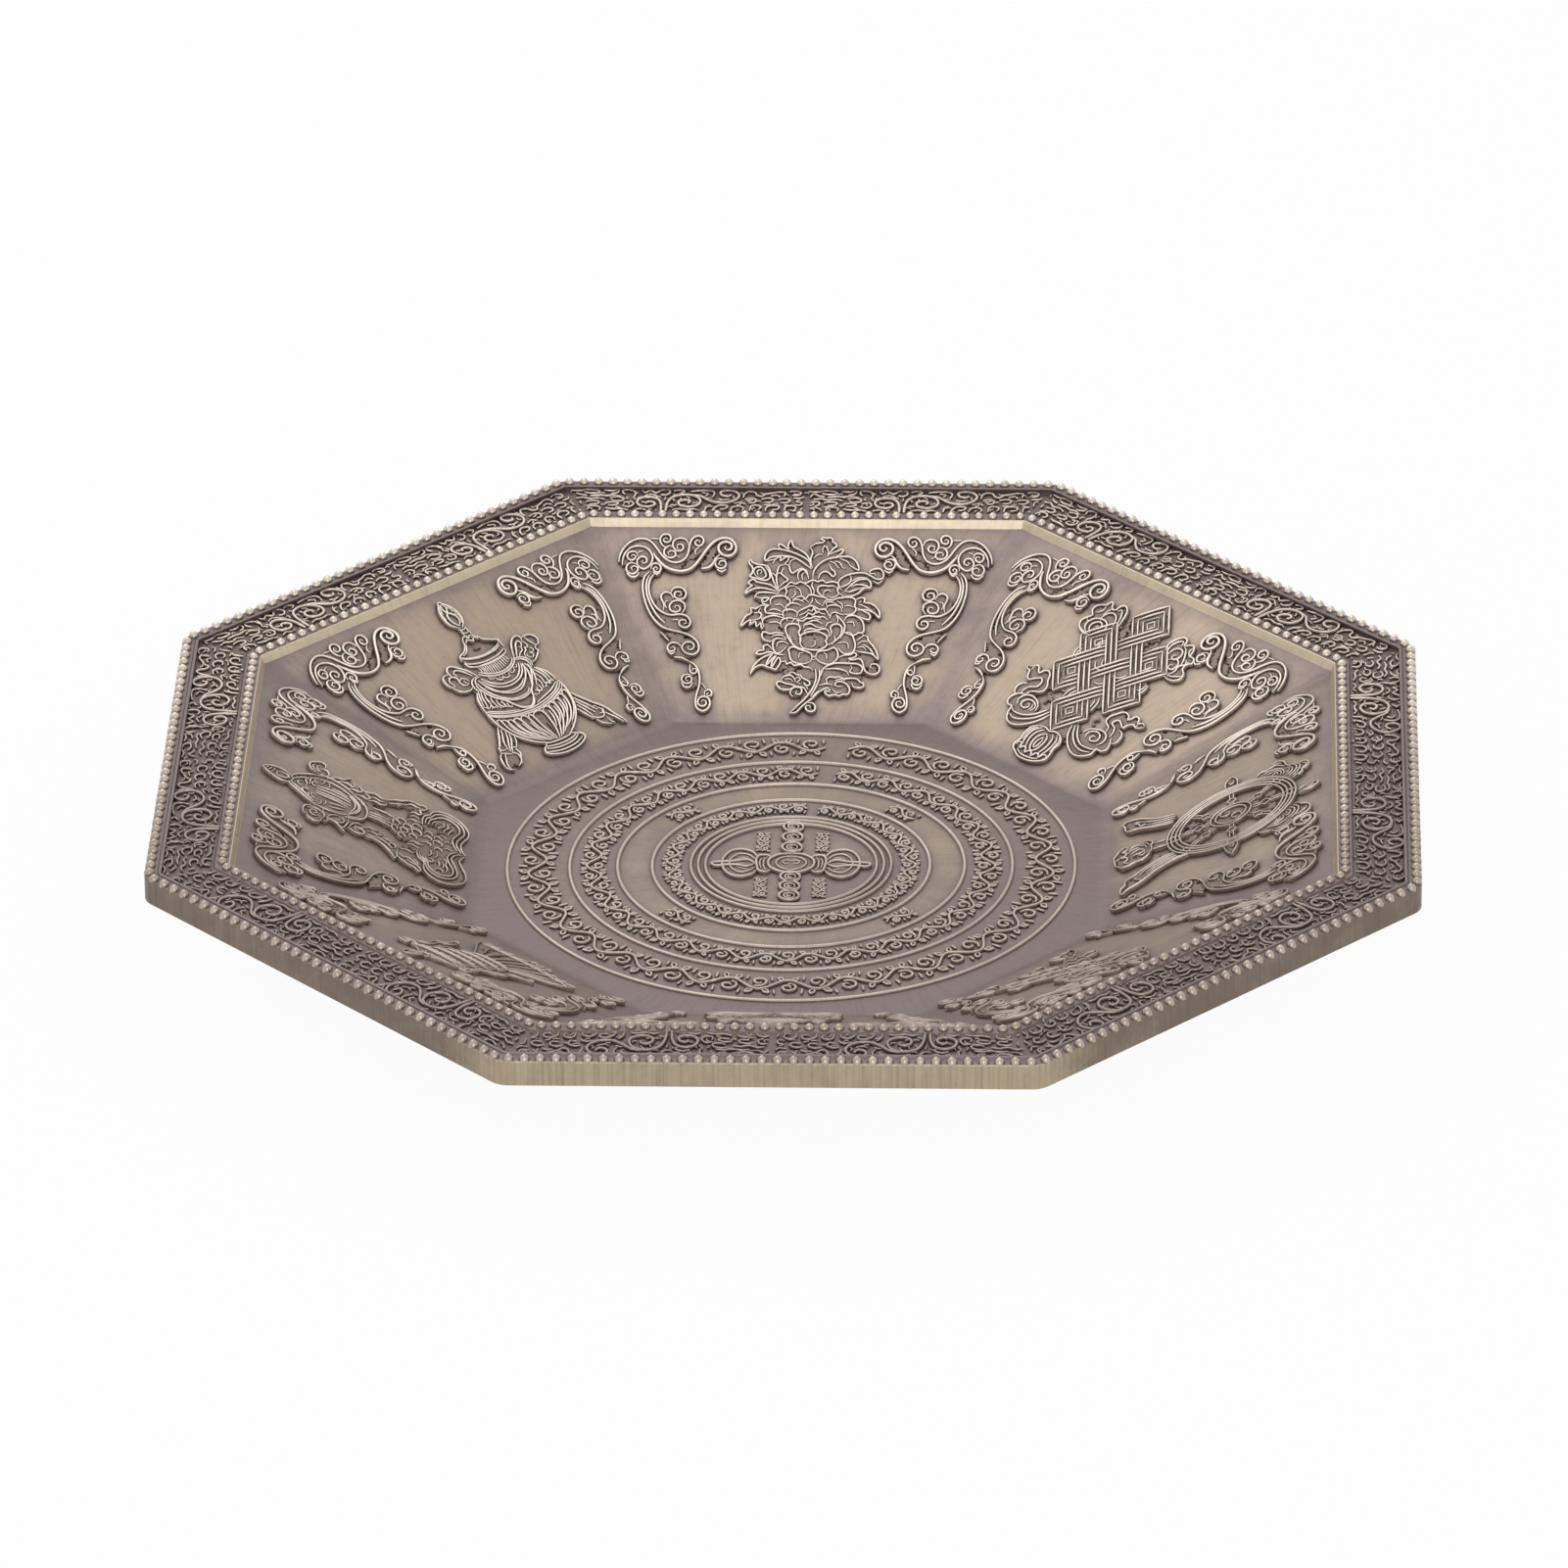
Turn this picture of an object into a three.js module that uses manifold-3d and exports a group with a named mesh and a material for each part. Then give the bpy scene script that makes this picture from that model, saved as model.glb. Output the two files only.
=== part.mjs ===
// A cast octagonal fire offering tray with beaded rims, relief ornament on its eight
// sloping sides and a ringed round field with a double-ended vajra on its floor.
// Millimetres, +Z up, origin at the middle of the underside.

import * as THREE from 'three';
import { mergeVertices } from 'three/addons/utils/BufferGeometryUtils.js';
import Module from 'manifold-3d';

const wasm = await Module();
wasm.setup();

// The sides, named by the way they face, anticlockwise from +X
const SIDE_NAMES = ['east', 'northeast', 'north', 'northwest', 'west', 'southwest', 'south', 'southeast'];
const SIDES = SIDE_NAMES.length;

// Driving dimensions of the dish
const FLOOR_WIDTH = 81.2; // across the flats of the level floor
const SIDE_RUN = 29.3; // level reach of a sloping side, from the floor out to the lip
const FRIEZE_WIDTH = 6.53; // level width of the sunk channel that holds the frieze
const WELL_DEPTH = 15.4; // rim top down to the floor
const FLOOR_THICKNESS = 2.2;
const WALL = 2;
const SKIRT_HEIGHT = 3.4;
const SKIRT_THICKNESS = 2;
const RIM_THICKNESS = 2.6;
const RIM_CORNER_RADIUS = 6;
const RIM_EDGE_BREAK = 0.3;
const LIP_DROP = 1.1;
const LIP_LEAN = 0.5;
const CHANNEL_DEPTH = 0.5;
const INNER_LEDGE_DROP = 0.3;
const INNER_LEDGE_WIDTH = 1.9;
const FILLET_WIDTH = 0.5;
const FILLET_HEIGHT = 0.25;
const FILLET_CLEARANCE = 0.12;

// Beaded rows
const BEAD_PITCH = 1.93;
const BEAD_WIDTH = 1.35;
const BEAD_HEIGHT = 0.95;
const BEAD_SETBACK = 0.2;
const INNER_BEAD_PITCH = 1.85;
const INNER_BEAD_WIDTH = 1.3;
const INNER_BEAD_HEIGHT = 0.85;
const BAND_HEIGHT = 0.25;

// Scrolls of the rim frieze, two on each side
const FRIEZE_RELIEF = 0.45;
const FRIEZE_MARGIN = 0.35;

// Relief on the sloping sides, soldered on over a thin seam of clearance
const SEAT_CLEARANCE = 0.3;
const RELIEF_HEIGHT = 0.45;
const RELIEF_STEP = 0.22;
const RELIEF_TOP_MARGIN = 1.3;
const RELIEF_FOOT_MARGIN = 1.15;

// Round field of the floor: rings from the outside in, then the boss with its vajra
const FIELD_MARGIN = 3.8;
const FIELD_BANDS = [8.1, 6.2, 4.5, 5];
const RING_WIDTH = 0.6;
const RING_HEIGHT = 0.35;
const BOSS_RING_PITCH = 0.95;
const BOSS_RINGS = 3;
const VAJRA_HEIGHT = 1;
const DISC_COUNT = 3;
const DISC_HEIGHT = 0.5;
const DISC_GAP = 0.12;
const CENTRE_CLEARANCE = 0.25;

// Fineness of the round forms
const RING_CHORD = 5.2;
const RING_LEAST_STEPS = 24;
const LOBE_STEP = 75; // degrees

// Sizes worked out from the driving dimensions
const HALF_TURN = Math.PI / SIDES;
const RIM_TOP = FLOOR_THICKNESS + WELL_DEPTH;
const FLOOR_APOTHEM = FLOOR_WIDTH / 2;
const PANEL_TOP_APOTHEM = FLOOR_APOTHEM + SIDE_RUN;
const MOUTH_APOTHEM = PANEL_TOP_APOTHEM + LIP_LEAN;
const INNER_BEAD_APOTHEM = MOUTH_APOTHEM + INNER_LEDGE_WIDTH / 2;
const CHANNEL_INNER = MOUTH_APOTHEM + INNER_LEDGE_WIDTH;
const CHANNEL_OUTER = CHANNEL_INNER + FRIEZE_WIDTH;
const FILLET_APOTHEM = CHANNEL_OUTER + FILLET_WIDTH;
const BEAD_APOTHEM = FILLET_APOTHEM + FILLET_CLEARANCE + BEAD_WIDTH / 2;
const RIM_APOTHEM = BEAD_APOTHEM + BEAD_WIDTH / 2 + BEAD_SETBACK;
const LIP_TOP = RIM_TOP - INNER_LEDGE_DROP;
const LIP_FOOT = LIP_TOP - LIP_DROP;
const PANEL_RISE = LIP_FOOT - FLOOR_THICKNESS;
const PANEL_ANGLE = Math.atan2(PANEL_RISE, SIDE_RUN);
const PANEL_LENGTH = Math.hypot(PANEL_RISE, SIDE_RUN);
const PANEL_MIDDLE_HALF_WIDTH = (FLOOR_APOTHEM + SIDE_RUN / 2) * Math.tan(HALF_TURN);
const CHANNEL_FLOOR = RIM_TOP - CHANNEL_DEPTH;

// Radii of the field's rings, of the boss inside them and of the room left for the vajra
const FIELD_RADII = FIELD_BANDS.map((_, index) => (
  FLOOR_APOTHEM - FIELD_MARGIN - FIELD_BANDS.slice(0, index).reduce((sum, band) => sum + band, 0)
));
const BOSS_RADIUS = FIELD_RADII.at(-1) - FIELD_BANDS.at(-1);
const CENTRE_RADIUS = BOSS_RADIUS - (BOSS_RINGS - 1) * BOSS_RING_PITCH - RING_WIDTH / 2 - CENTRE_CLEARANCE;

// The reliefs are drawn on a grid of 100 rows, and 76 columns from a side's middle to its mitre
const GRID_ROWS = 100;
const GRID_COLUMNS = 76;
const GRID = Math.min(
  (PANEL_LENGTH - RELIEF_TOP_MARGIN - RELIEF_FOOT_MARGIN) / GRID_ROWS,
  PANEL_MIDDLE_HALF_WIDTH / GRID_COLUMNS,
);

// Finishes: one brass casting, patinated dark in the recesses and rubbed pale on top
const finishes = {
  dish: { color: 0x958676, roughness: 0.42, metalness: 0.9 },
  beads: { color: 0xc2b3a0, roughness: 0.34, metalness: 0.92 },
  frieze: { color: 0x8d8177, roughness: 0.5, metalness: 0.85 },
  relief: { color: 0xb3a492, roughness: 0.38, metalness: 0.9 },
  field: { color: 0xa59786, roughness: 0.4, metalness: 0.9 },
};

function closedGeometry(geometry) {
  const bare = geometry.clone();
  for (const name of Object.keys(bare.attributes)) {
    if (name !== 'position') bare.deleteAttribute(name);
  }
  return mergeVertices(bare, 1e-4);
}

function solidOf(geometry) {
  const closed = closedGeometry(geometry);
  const vertProperties = new Float32Array(closed.attributes.position.array);
  const triVerts = new Uint32Array(closed.index.array);
  return new wasm.Manifold(new wasm.Mesh({ numProp: 3, vertProperties, triVerts }));
}

function geometryOf(solid) {
  const mesh = solid.asOriginal().simplify().getMesh();
  const geometry = new THREE.BufferGeometry();
  geometry.setAttribute('position', new THREE.BufferAttribute(new Float32Array(mesh.vertProperties), 3));
  geometry.setIndex(new THREE.BufferAttribute(new Uint32Array(mesh.triVerts), 1));
  return geometry;
}

function joined(solids) {
  return solids.reduce((sum, solid) => sum.add(solid));
}

function piece(name, geometry, finish) {
  const mesh = new THREE.Mesh(geometry, new THREE.MeshStandardMaterial(finishes[finish]));
  mesh.name = name;
  mesh.material.name = finish;
  return mesh;
}

function prism(shape, bottom, top, curveSegments = 3) {
  const geometry = new THREE.ExtrudeGeometry(shape, {
    depth: top - bottom,
    bevelEnabled: false,
    curveSegments,
  });
  geometry.translate(0, 0, bottom);
  return solidOf(geometry);
}

// A corner of the octagon lies further out than its flat by this factor
function cornerRadius(apothem) {
  return apothem / Math.cos(HALF_TURN);
}

// One point of a rounded octagon at a share of its length, with its outward angle
function rimPoint(apothem, radius, share) {
  const straight = 2 * (apothem - radius) * Math.tan(HALF_TURN);
  const bend = 2 * HALF_TURN * radius;
  const along = ((share * SIDES) % SIDES + SIDES) % SIDES;
  const side = Math.floor(along);
  const rest = (along - side) * (straight + bend) - (straight + bend) / 2;
  const facing = 2 * HALF_TURN * side;
  const turned = THREE.MathUtils.clamp(Math.abs(rest) - straight / 2, 0, bend / 2);
  const turn = radius > 0 ? (Math.sign(rest) * turned) / radius : 0;
  const run = THREE.MathUtils.clamp(rest, -straight / 2, straight / 2);
  const outward = facing + turn;
  const core = apothem - radius;
  return {
    x: core * Math.cos(facing) - run * Math.sin(facing) + radius * Math.cos(outward),
    y: core * Math.sin(facing) + run * Math.cos(facing) + radius * Math.sin(outward),
    outward,
    length: SIDES * (straight + bend),
  };
}

function roundedOctagon(apothem, radius) {
  const shape = new THREE.Shape();
  const core = cornerRadius(apothem - radius);
  for (let side = 0; side < SIDES; side += 1) {
    const corner = HALF_TURN * (2 * side + 1);
    const x = core * Math.cos(corner);
    const y = core * Math.sin(corner);
    shape.absarc(x, y, radius, corner - HALF_TURN, corner + HALF_TURN, false);
  }
  return shape;
}

// Corners of the rim are concentric, so the radius shrinks with the apothem
function rimRadius(apothem) {
  return RIM_CORNER_RADIUS - RIM_APOTHEM + apothem;
}

function rimBand(outer, inner, innerRadius, bottom, top) {
  const band = roundedOctagon(outer, rimRadius(outer));
  band.holes.push(roundedOctagon(inner, innerRadius));
  return prism(band, bottom, top, 2);
}

// The dish is an eight-sided revolve of its section: the rim's corners are rounded off, the
// frieze channel is sunk into its top and a thin fillet stands along the channel's outer edge
function dish() {
  const rimUnderside = RIM_TOP - RIM_THICKNESS;
  const skirtInside = RIM_APOTHEM - SKIRT_THICKNESS;
  const wallDrop = WALL / Math.cos(PANEL_ANGLE);
  const slope = Math.tan(PANEL_ANGLE);
  const baseApothem = FLOOR_APOTHEM + (wallDrop - FLOOR_THICKNESS) / slope;
  const shoulderApothem = FLOOR_APOTHEM + (rimUnderside - FLOOR_THICKNESS + wallDrop) / slope;
  const channelMiddle = (CHANNEL_INNER + CHANNEL_OUTER) / 2;
  const section = [
    [0, 0],
    [baseApothem, 0],
    [shoulderApothem, rimUnderside],
    [skirtInside, rimUnderside],
    [skirtInside, RIM_TOP - SKIRT_HEIGHT],
    [RIM_APOTHEM, RIM_TOP - SKIRT_HEIGHT],
    [RIM_APOTHEM, RIM_TOP - RIM_EDGE_BREAK],
    [RIM_APOTHEM - BEAD_SETBACK / 2, RIM_TOP],
    [channelMiddle, RIM_TOP],
    [channelMiddle, LIP_TOP],
    [MOUTH_APOTHEM, LIP_TOP],
    [PANEL_TOP_APOTHEM, LIP_FOOT],
    [FLOOR_APOTHEM, FLOOR_THICKNESS],
    [0, FLOOR_THICKNESS],
  ];
  const points = section.map(([apothem, z]) => new THREE.Vector2(cornerRadius(apothem), z));
  const revolved = new THREE.LatheGeometry(points, SIDES, HALF_TURN);
  revolved.rotateX(Math.PI / 2);
  const trim = prism(roundedOctagon(RIM_APOTHEM, RIM_CORNER_RADIUS), -1, RIM_TOP + 1, 2);
  const ledgeRadius = CHANNEL_INNER - MOUTH_APOTHEM;
  const channel = rimBand(CHANNEL_OUTER, CHANNEL_INNER, ledgeRadius, CHANNEL_FLOOR, RIM_TOP + 1);
  const fillet = rimBand(FILLET_APOTHEM, CHANNEL_OUTER, rimRadius(CHANNEL_OUTER), CHANNEL_FLOOR,
    RIM_TOP + FILLET_HEIGHT);
  return geometryOf(solidOf(revolved).intersect(trim).subtract(channel).add(fillet));
}

// A beaded strip: a low band whose top rises to a point over each bead
function beadRow({ apothem, radius, pitch, width, height, bottom }) {
  const { length } = rimPoint(apothem, radius, 0);
  const count = SIDES * Math.round(length / pitch / SIDES);
  const positions = [];
  const triangles = [];
  const section = [[width / 2, 0], [width / 2, BAND_HEIGHT], [-width / 2, BAND_HEIGHT], [-width / 2, 0]];
  const place = (spot, out, up) => {
    const [x, y] = [spot.x + out * Math.cos(spot.outward), spot.y + out * Math.sin(spot.outward)];
    positions.push(x, y, bottom + up);
  };
  for (let bead = 0; bead < count; bead += 1) {
    const valley = rimPoint(apothem, radius, bead / count);
    section.forEach(([out, up]) => place(valley, out, up));
    place(rimPoint(apothem, radius, (bead + 0.5) / count), 0, height);
    const here = 5 * bead;
    const next = 5 * ((bead + 1) % count);
    const apex = here + 4;
    triangles.push(here, next, next + 1, here, next + 1, here + 1);
    triangles.push(here + 2, next + 2, next + 3, here + 2, next + 3, here + 3);
    triangles.push(here + 3, next + 3, next, here + 3, next, here);
    triangles.push(here + 1, next + 1, apex, next + 1, next + 2, apex);
    triangles.push(next + 2, here + 2, apex, here + 2, here + 1, apex);
  }
  const geometry = new THREE.BufferGeometry();
  geometry.setAttribute('position', new THREE.Float32BufferAttribute(positions, 3));
  geometry.setIndex(triangles);
  return geometry;
}

// Outline of corners [x, y] and round lobes [x, y, radius, from, to], run clockwise, angles in degrees
function outline(steps, scale = GRID) {
  const points = [];
  for (const [x, y, radius, from, to] of steps) {
    if (radius === undefined) {
      points.push(new THREE.Vector2(x * scale, y * scale));
      continue;
    }
    const parts = Math.max(1, Math.round((from - to) / LOBE_STEP));
    for (let part = 0; part <= parts; part += 1) {
      const angle = THREE.MathUtils.degToRad(from + ((to - from) * part) / parts);
      const [lobeX, lobeY] = [x + radius * Math.cos(angle), y + radius * Math.sin(angle)];
      points.push(new THREE.Vector2(lobeX * scale, lobeY * scale));
    }
  }
  return new THREE.Shape(points);
}

function mirroredSteps(half) {
  const other = half.map(([x, y, radius, from, to]) => (
    radius === undefined ? [-x, y] : [-x, y, radius, 180 - to, 180 - from]
  ));
  return half.concat(other.reverse().filter(([x]) => x !== 0));
}

function ellipse(x, y, width, height, scale = GRID) {
  const shape = new THREE.Shape();
  shape.absellipse(x * scale, y * scale, (width / 2) * scale, (height / 2) * scale, 0, 2 * Math.PI);
  return shape;
}

function bar(x0, y0, x1, y1, width, scale = GRID) {
  const length = Math.hypot(x1 - x0, y1 - y0);
  const sideX = ((y1 - y0) / length) * (width / 2);
  const sideY = (-(x1 - x0) / length) * (width / 2);
  return outline([[x0 + sideX, y0 + sideY], [x1 + sideX, y1 + sideY], [x1 - sideX, y1 - sideY],
    [x0 - sideX, y0 - sideY]], scale);
}

// A relief's ground plate, and what stands on it, one step or more higher
function plate(shape) {
  return prism(shape, SEAT_CLEARANCE, SEAT_CLEARANCE + RELIEF_HEIGHT);
}

function raised(shape, steps = 1, curveSegments = 3) {
  return prism(shape, SEAT_CLEARANCE, SEAT_CLEARANCE + RELIEF_HEIGHT + steps * RELIEF_STEP, curveSegments);
}

// Corner scroll, drawn on a grid 100 high from the mitre line inward: a double scroll under
// the lip, a stem along the mitre with curls on its inner side, and a tapering lower sprig
const scrollSteps = [
  [-7, 83.5],
  [1.4, 88.4, 8.4, 165, 65],
  [9.5, 93.5],
  [13.5, 96.2, 3.1, 150, 30],
  [22.5, 96.6],
  [28.4, 96, 3.3, 130, 10],
  [31.9, 93],
  [40, 92.6, 5.7, 125, -35],
  [38.7, 82.6, 3.1, 20, -110],
  [30, 79.8],
  [31.8, 84],
  [20.5, 88, 9.8, -50, -125],
  [9.9, 79.7, 3, -30, -100],
  [7.9, 70],
  [10.3, 62.8],
  [14.2, 65, 2.9, 150, 80],
  [20.1, 66.2, 3.6, 110, -20],
  [20, 58.3, 3.9, 30, -40],
  [23.2, 50, 3.2, 50, -80],
  [28.2, 42],
  [26.8, 35.2, 4, 5, -75],
  [30.6, 22],
  [34.9, 10.6, 2.6, 100, -10],
  [32.9, 5, 3.7, -30, -150],
  [29.5, 14],
  [25.4, 18, 3, -70, -190],
  [27.4, 26.5],
  [19.2, 29.2],
  [18.5, 35.6, 3, -120, -190],
  [12.8, 45],
  [6.5, 56.5],
  [3.6, 70],
  [5.8, 77.4],
  [-0.9, 78.9, 3.4, -60, -180],
];

function cornerScroll(hand) {
  const solid = plate(outline(scrollSteps)).translate([-PANEL_MIDDLE_HALF_WIDTH, 0, 0]);
  return geometryOf(hand > 0 ? solid.mirror([1, 0, 0]) : solid);
}

// Emblems, each drawn on the same grid, 100 high, about the middle of its side

function handed(hand, steps) {
  return outline(steps.map(([x, y]) => [hand * x, y]));
}

function pair(steps) {
  return [-1, 1].map((hand) => plate(handed(hand, steps)));
}

function rosette(x, y, width, height, petals, lobe) {
  const steps = [];
  for (let point = 0; point < 2 * petals; point += 1) {
    const angle = (-Math.PI * point) / petals;
    const reach = point % 2 ? 1 : 1 - lobe;
    steps.push([x + (width / 2) * reach * Math.cos(angle), y + (height / 2) * reach * Math.sin(angle)]);
  }
  return outline(steps);
}

function flowerPair(x, y, size) {
  return [-1, 1].map((hand) => plate(rosette(hand * x, y, size, size * 1.1, 5, 0.2)));
}

function lotusFlower() {
  const leaves = plate(outline([
    [7.9, 100], [12.7, 96], [14, 91.5], [19.5, 88.8], [23.6, 82], [32.6, 79.8, 2.6, 110, -40],
    [25, 68.3], [29.8, 62.8], [33.9, 54.6], [26.6, 55], [27, 44], [30.5, 41], [33.9, 31.4],
    [24, 29], [32.4, 24.8, 3.2, 90, -80], [26.8, 19.5], [26.5, 15], [12.7, 8.7], [8.4, 13],
    [5.8, 9], [6.9, 3.5, 2.4, 60, -110], [-4.5, 0], [1.1, 8.4], [-8.7, 13.2, 3.6, -60, -190],
    [-6.6, 22.5], [-8, 26.8], [-22.8, 22.5], [-17.5, 35], [-19.8, 48], [-27.8, 49], [-24, 57.5],
    [-17.5, 63], [-27, 67.4], [-23.8, 74], [-25, 86.4], [-18, 84], [-17.3, 91.5], [-9.2, 94.8],
    [-7, 98], [-1.8, 93], [3, 90],
  ]));
  const petals = raised(rosette(2.5, 51, 48, 55, 9, 0.14));
  const heart = raised(rosette(3.5, 54, 24, 27, 6, 0.18), 2);
  return joined([leaves, petals, heart]);
}

// The knot is one endless band folded over a slanting lattice: its corners are listed in lattice
// steps in the order that the band meets them
function endlessKnot() {
  const across = 7.9;
  const down = 9.3;
  const middle = 60;
  const halfBand = 0.2;
  const spot = (p, q) => [(p + q) * across, middle + (p - q) * down];
  const corners = [[2, -2], [1, -2], [1, 2], [0, 2], [0, -2], [-1, -2], [-1, 2], [-2, 2], [-2, 1], [2, 1],
    [2, 0], [-2, 0], [-2, -1], [2, -1]];
  const bands = corners.map(([p, q], index) => {
    const [nextP, nextQ] = corners[(index + 1) % corners.length];
    const [low, high] = [Math.min(p, nextP) - halfBand, Math.max(p, nextP) + halfBand];
    const [back, front] = [Math.min(q, nextQ) - halfBand, Math.max(q, nextQ) + halfBand];
    return raised(outline([spot(low, back), spot(high, back), spot(high, front), spot(low, front)]));
  });
  const ground = plate(outline(mirroredSteps([
    spot(2, -2), spot(2, -1), spot(2, 1), spot(1.2, 1.2), spot(1, 2), spot(-1, 2), spot(-2, 2),
  ])));
  const ribbons = pair([[4, 32], [13, 22], [22, 27], [19, 38], [25, 45], [38, 41], [33, 33], [34, 21],
    [25, 12.5], [10, 17]]);
  const bud = plate(outline(mirroredSteps([[0, 24], [6, 19.5], [10.5, 12], [9, 4], [0, 0]])));
  return joined([ground, ...bands, ...flowerPair(23.5, 78.5, 18), ...ribbons, bud]);
}

function wheelOfLaw() {
  const middle = 57;
  const rim = ellipse(0, middle, 50, 61);
  rim.holes.push(ellipse(0, middle, 40, 50));
  const hub = raised(ellipse(0, middle, 17, 20), 1, 5);
  const spokes = Array.from({ length: 8 }, (_, spoke) => {
    const angle = (Math.PI * spoke) / 4;
    const spot = (along, aside) => [
      along * Math.cos(angle) - aside * Math.sin(angle),
      middle + 1.22 * (along * Math.sin(angle) + aside * Math.cos(angle)),
    ];
    return plate(outline([spot(4, 0), spot(14, 2.4), spot(23, 0), spot(14, -2.4)]));
  });
  const flame = plate(outline([[-3, 86], [-4.2, 92], [0.5, 100], [4.2, 92], [3, 86]]));
  const knobs = pair([[24, 53], [28, 53], [35, 57], [28, 61], [24, 61]]);
  const streamers = pair([[13, 33], [19, 36], [24, 22], [33, 7], [29, 3], [21, 8], [14, 22]]);
  const bud = plate(outline(mirroredSteps([[0, 28], [2.6, 27], [3, 20], [8, 17], [9.8, 9], [7, 2],
    [0, 0]])));
  const blossoms = flowerPair(21.5, 81, 20);
  return joined([raised(rim, 1, 8), hub, ...spokes, flame, ...knobs, ...blossoms, ...streamers, bud]);
}

function goldenFish() {
  const body = [[5, 96], [10, 99], [17, 94], [22.5, 82], [22.5, 66], [17, 47], [9, 30], [13, 22], [26, 17],
    [27, 7], [14, 9], [5, 0], [2.5, 12], [2.5, 30], [6.5, 50], [8, 66], [5.5, 80], [2.5, 89]];
  const fin = [[21, 80], [29, 70], [28, 58], [20, 62]];
  const bodies = [-1, 1].map((hand) => raised(handed(hand, body)));
  const bow = plate(rosette(0, 34, 13, 14, 5, 0.25));
  return joined([...bodies, ...pair(fin), bow]);
}

function conchShell() {
  const shell = plate(outline([[-4, 100], [4, 99], [12, 92], [18, 80], [20, 64], [17, 50], [21, 38],
    [12, 26], [5, 10], [-1, 0], [-8, 12], [-15, 28], [-19, 46], [-19, 64], [-15, 80], [-10, 92]]));
  const whorls = [[0, 66, 30, 38], [-2, 79, 22, 26], [-2, 89, 13, 15]].map(
    ([x, y, width, height], turn) => raised(ellipse(x, y, width, height), turn + 1, 5),
  );
  const sash = pair([[10, 40], [22, 44], [31, 36], [27, 24], [33, 10], [24, 6], [18, 20], [8, 26]]);
  return joined([shell, ...whorls, ...sash]);
}

function victoryBanner() {
  const finial = plate(outline(mirroredSteps([[0, 100], [4, 93], [3, 86], [6, 84], [12, 76], [0, 76]])));
  const tiers = [0, 1, 2, 3].map((tier) => {
    const top = 79 - 12.5 * tier;
    const half = [[0, top], [13, top], [17, top - 3], [13.5, top - 13], [0, top - 13]];
    return raised(outline(mirroredSteps(half)));
  });
  const skirt = plate(outline(mirroredSteps([[0, 32], [13, 32], [19, 20], [29, 12], [31, 4], [24, 1],
    [16, 7], [8, 4], [0, 0]])));
  const ribbons = pair([[13, 74], [22, 72], [25, 60], [22, 46], [25, 34], [19, 30], [13, 44]]);
  return joined([finial, ...tiers, skirt, ...ribbons]);
}

function parasol() {
  const finial = plate(outline(mirroredSteps([[0, 100], [4.5, 93], [3, 86], [6, 84], [12, 74], [0, 72]])));
  const dome = raised(outline(mirroredSteps([[0, 86], [9, 82], [16, 72], [17.5, 60], [14, 52], [8, 48],
    [0, 47]])));
  const shaft = raised(outline(mirroredSteps([[0, 48], [6, 48], [6, 30], [0, 30]])));
  const drapes = pair([[15, 70], [19, 76], [25, 77], [28, 71], [23, 64], [25, 54], [23, 44], [29, 33],
    [25, 24], [14, 24], [12, 44], [15, 56]]);
  const skirt = plate(outline(mirroredSteps([[0, 34], [14, 30], [25, 25], [31, 18], [31, 10], [24, 2.5],
    [14, 1], [6, 5], [0, 2]])));
  return joined([finial, dome, shaft, ...drapes, skirt]);
}

function treasureVase() {
  const flame = plate(outline(mirroredSteps([[0, 100], [4.6, 91], [4.8, 85], [2.6, 79], [3, 76], [7, 72],
    [12.3, 68.5], [8.6, 62], [8.6, 56], [0, 56]])));
  const lid = raised(outline(mirroredSteps([[0, 71], [8, 71], [12.3, 68.5], [12.3, 64], [8, 62], [0, 62]])));
  const belly = raised(ellipse(0, 35, 44.5, 46.5), 1, 8);
  const shoulder = plate(outline(mirroredSteps([[0, 60], [9, 58], [15, 55], [18, 48], [0, 48]])));
  const foot = raised(outline(mirroredSteps([[0, 14], [9, 13], [12.4, 9], [12.4, 2.5], [6, 0], [0, 0]])));
  const bows = pair([[13, 58], [19, 66], [27, 67], [30, 61], [26, 57], [24, 50], [16, 49]]);
  const streamers = pair([[17, 32], [22, 30], [29, 19], [35, 5], [31, 2], [23, 6], [14, 20]]);
  return joined([flame, lid, belly, shoulder, foot, ...bows, ...streamers]);
}

// One emblem for each side, in the order of SIDE_NAMES
const emblems = [
  ['wheel_of_law', wheelOfLaw],
  ['endless_knot', endlessKnot],
  ['lotus_flower', lotusFlower],
  ['treasure_vase', treasureVase],
  ['parasol', parasol],
  ['victory_banner', victoryBanner],
  ['conch_shell', conchShell],
  ['golden_fish', goldenFish],
];

// A scroll of the frieze, drawn 10 high about its large curl: a small curl on its left and an
// arm that swings out on its right to a third curl
function friezeScroll() {
  const scale = (CHANNEL_OUTER - CHANNEL_INNER - 2 * FRIEZE_MARGIN) / 10;
  const steps = [
    [-5.4, 0],
    [-8.6, 3.8, 2.8, -80, -320],
    [-4.8, 1.4],
    [0, 3.8, 3.8, 170, 50],
    [6.2, 5.2],
    [9.7, 7.4, 2.6, 160, -60],
    [6.6, 3.2],
    [0, 3.8, 3.4, -20, -110],
    [-3.2, 0],
  ];
  return geometryOf(prism(outline(steps, scale), CHANNEL_FLOOR, CHANNEL_FLOOR + FRIEZE_RELIEF));
}

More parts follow.
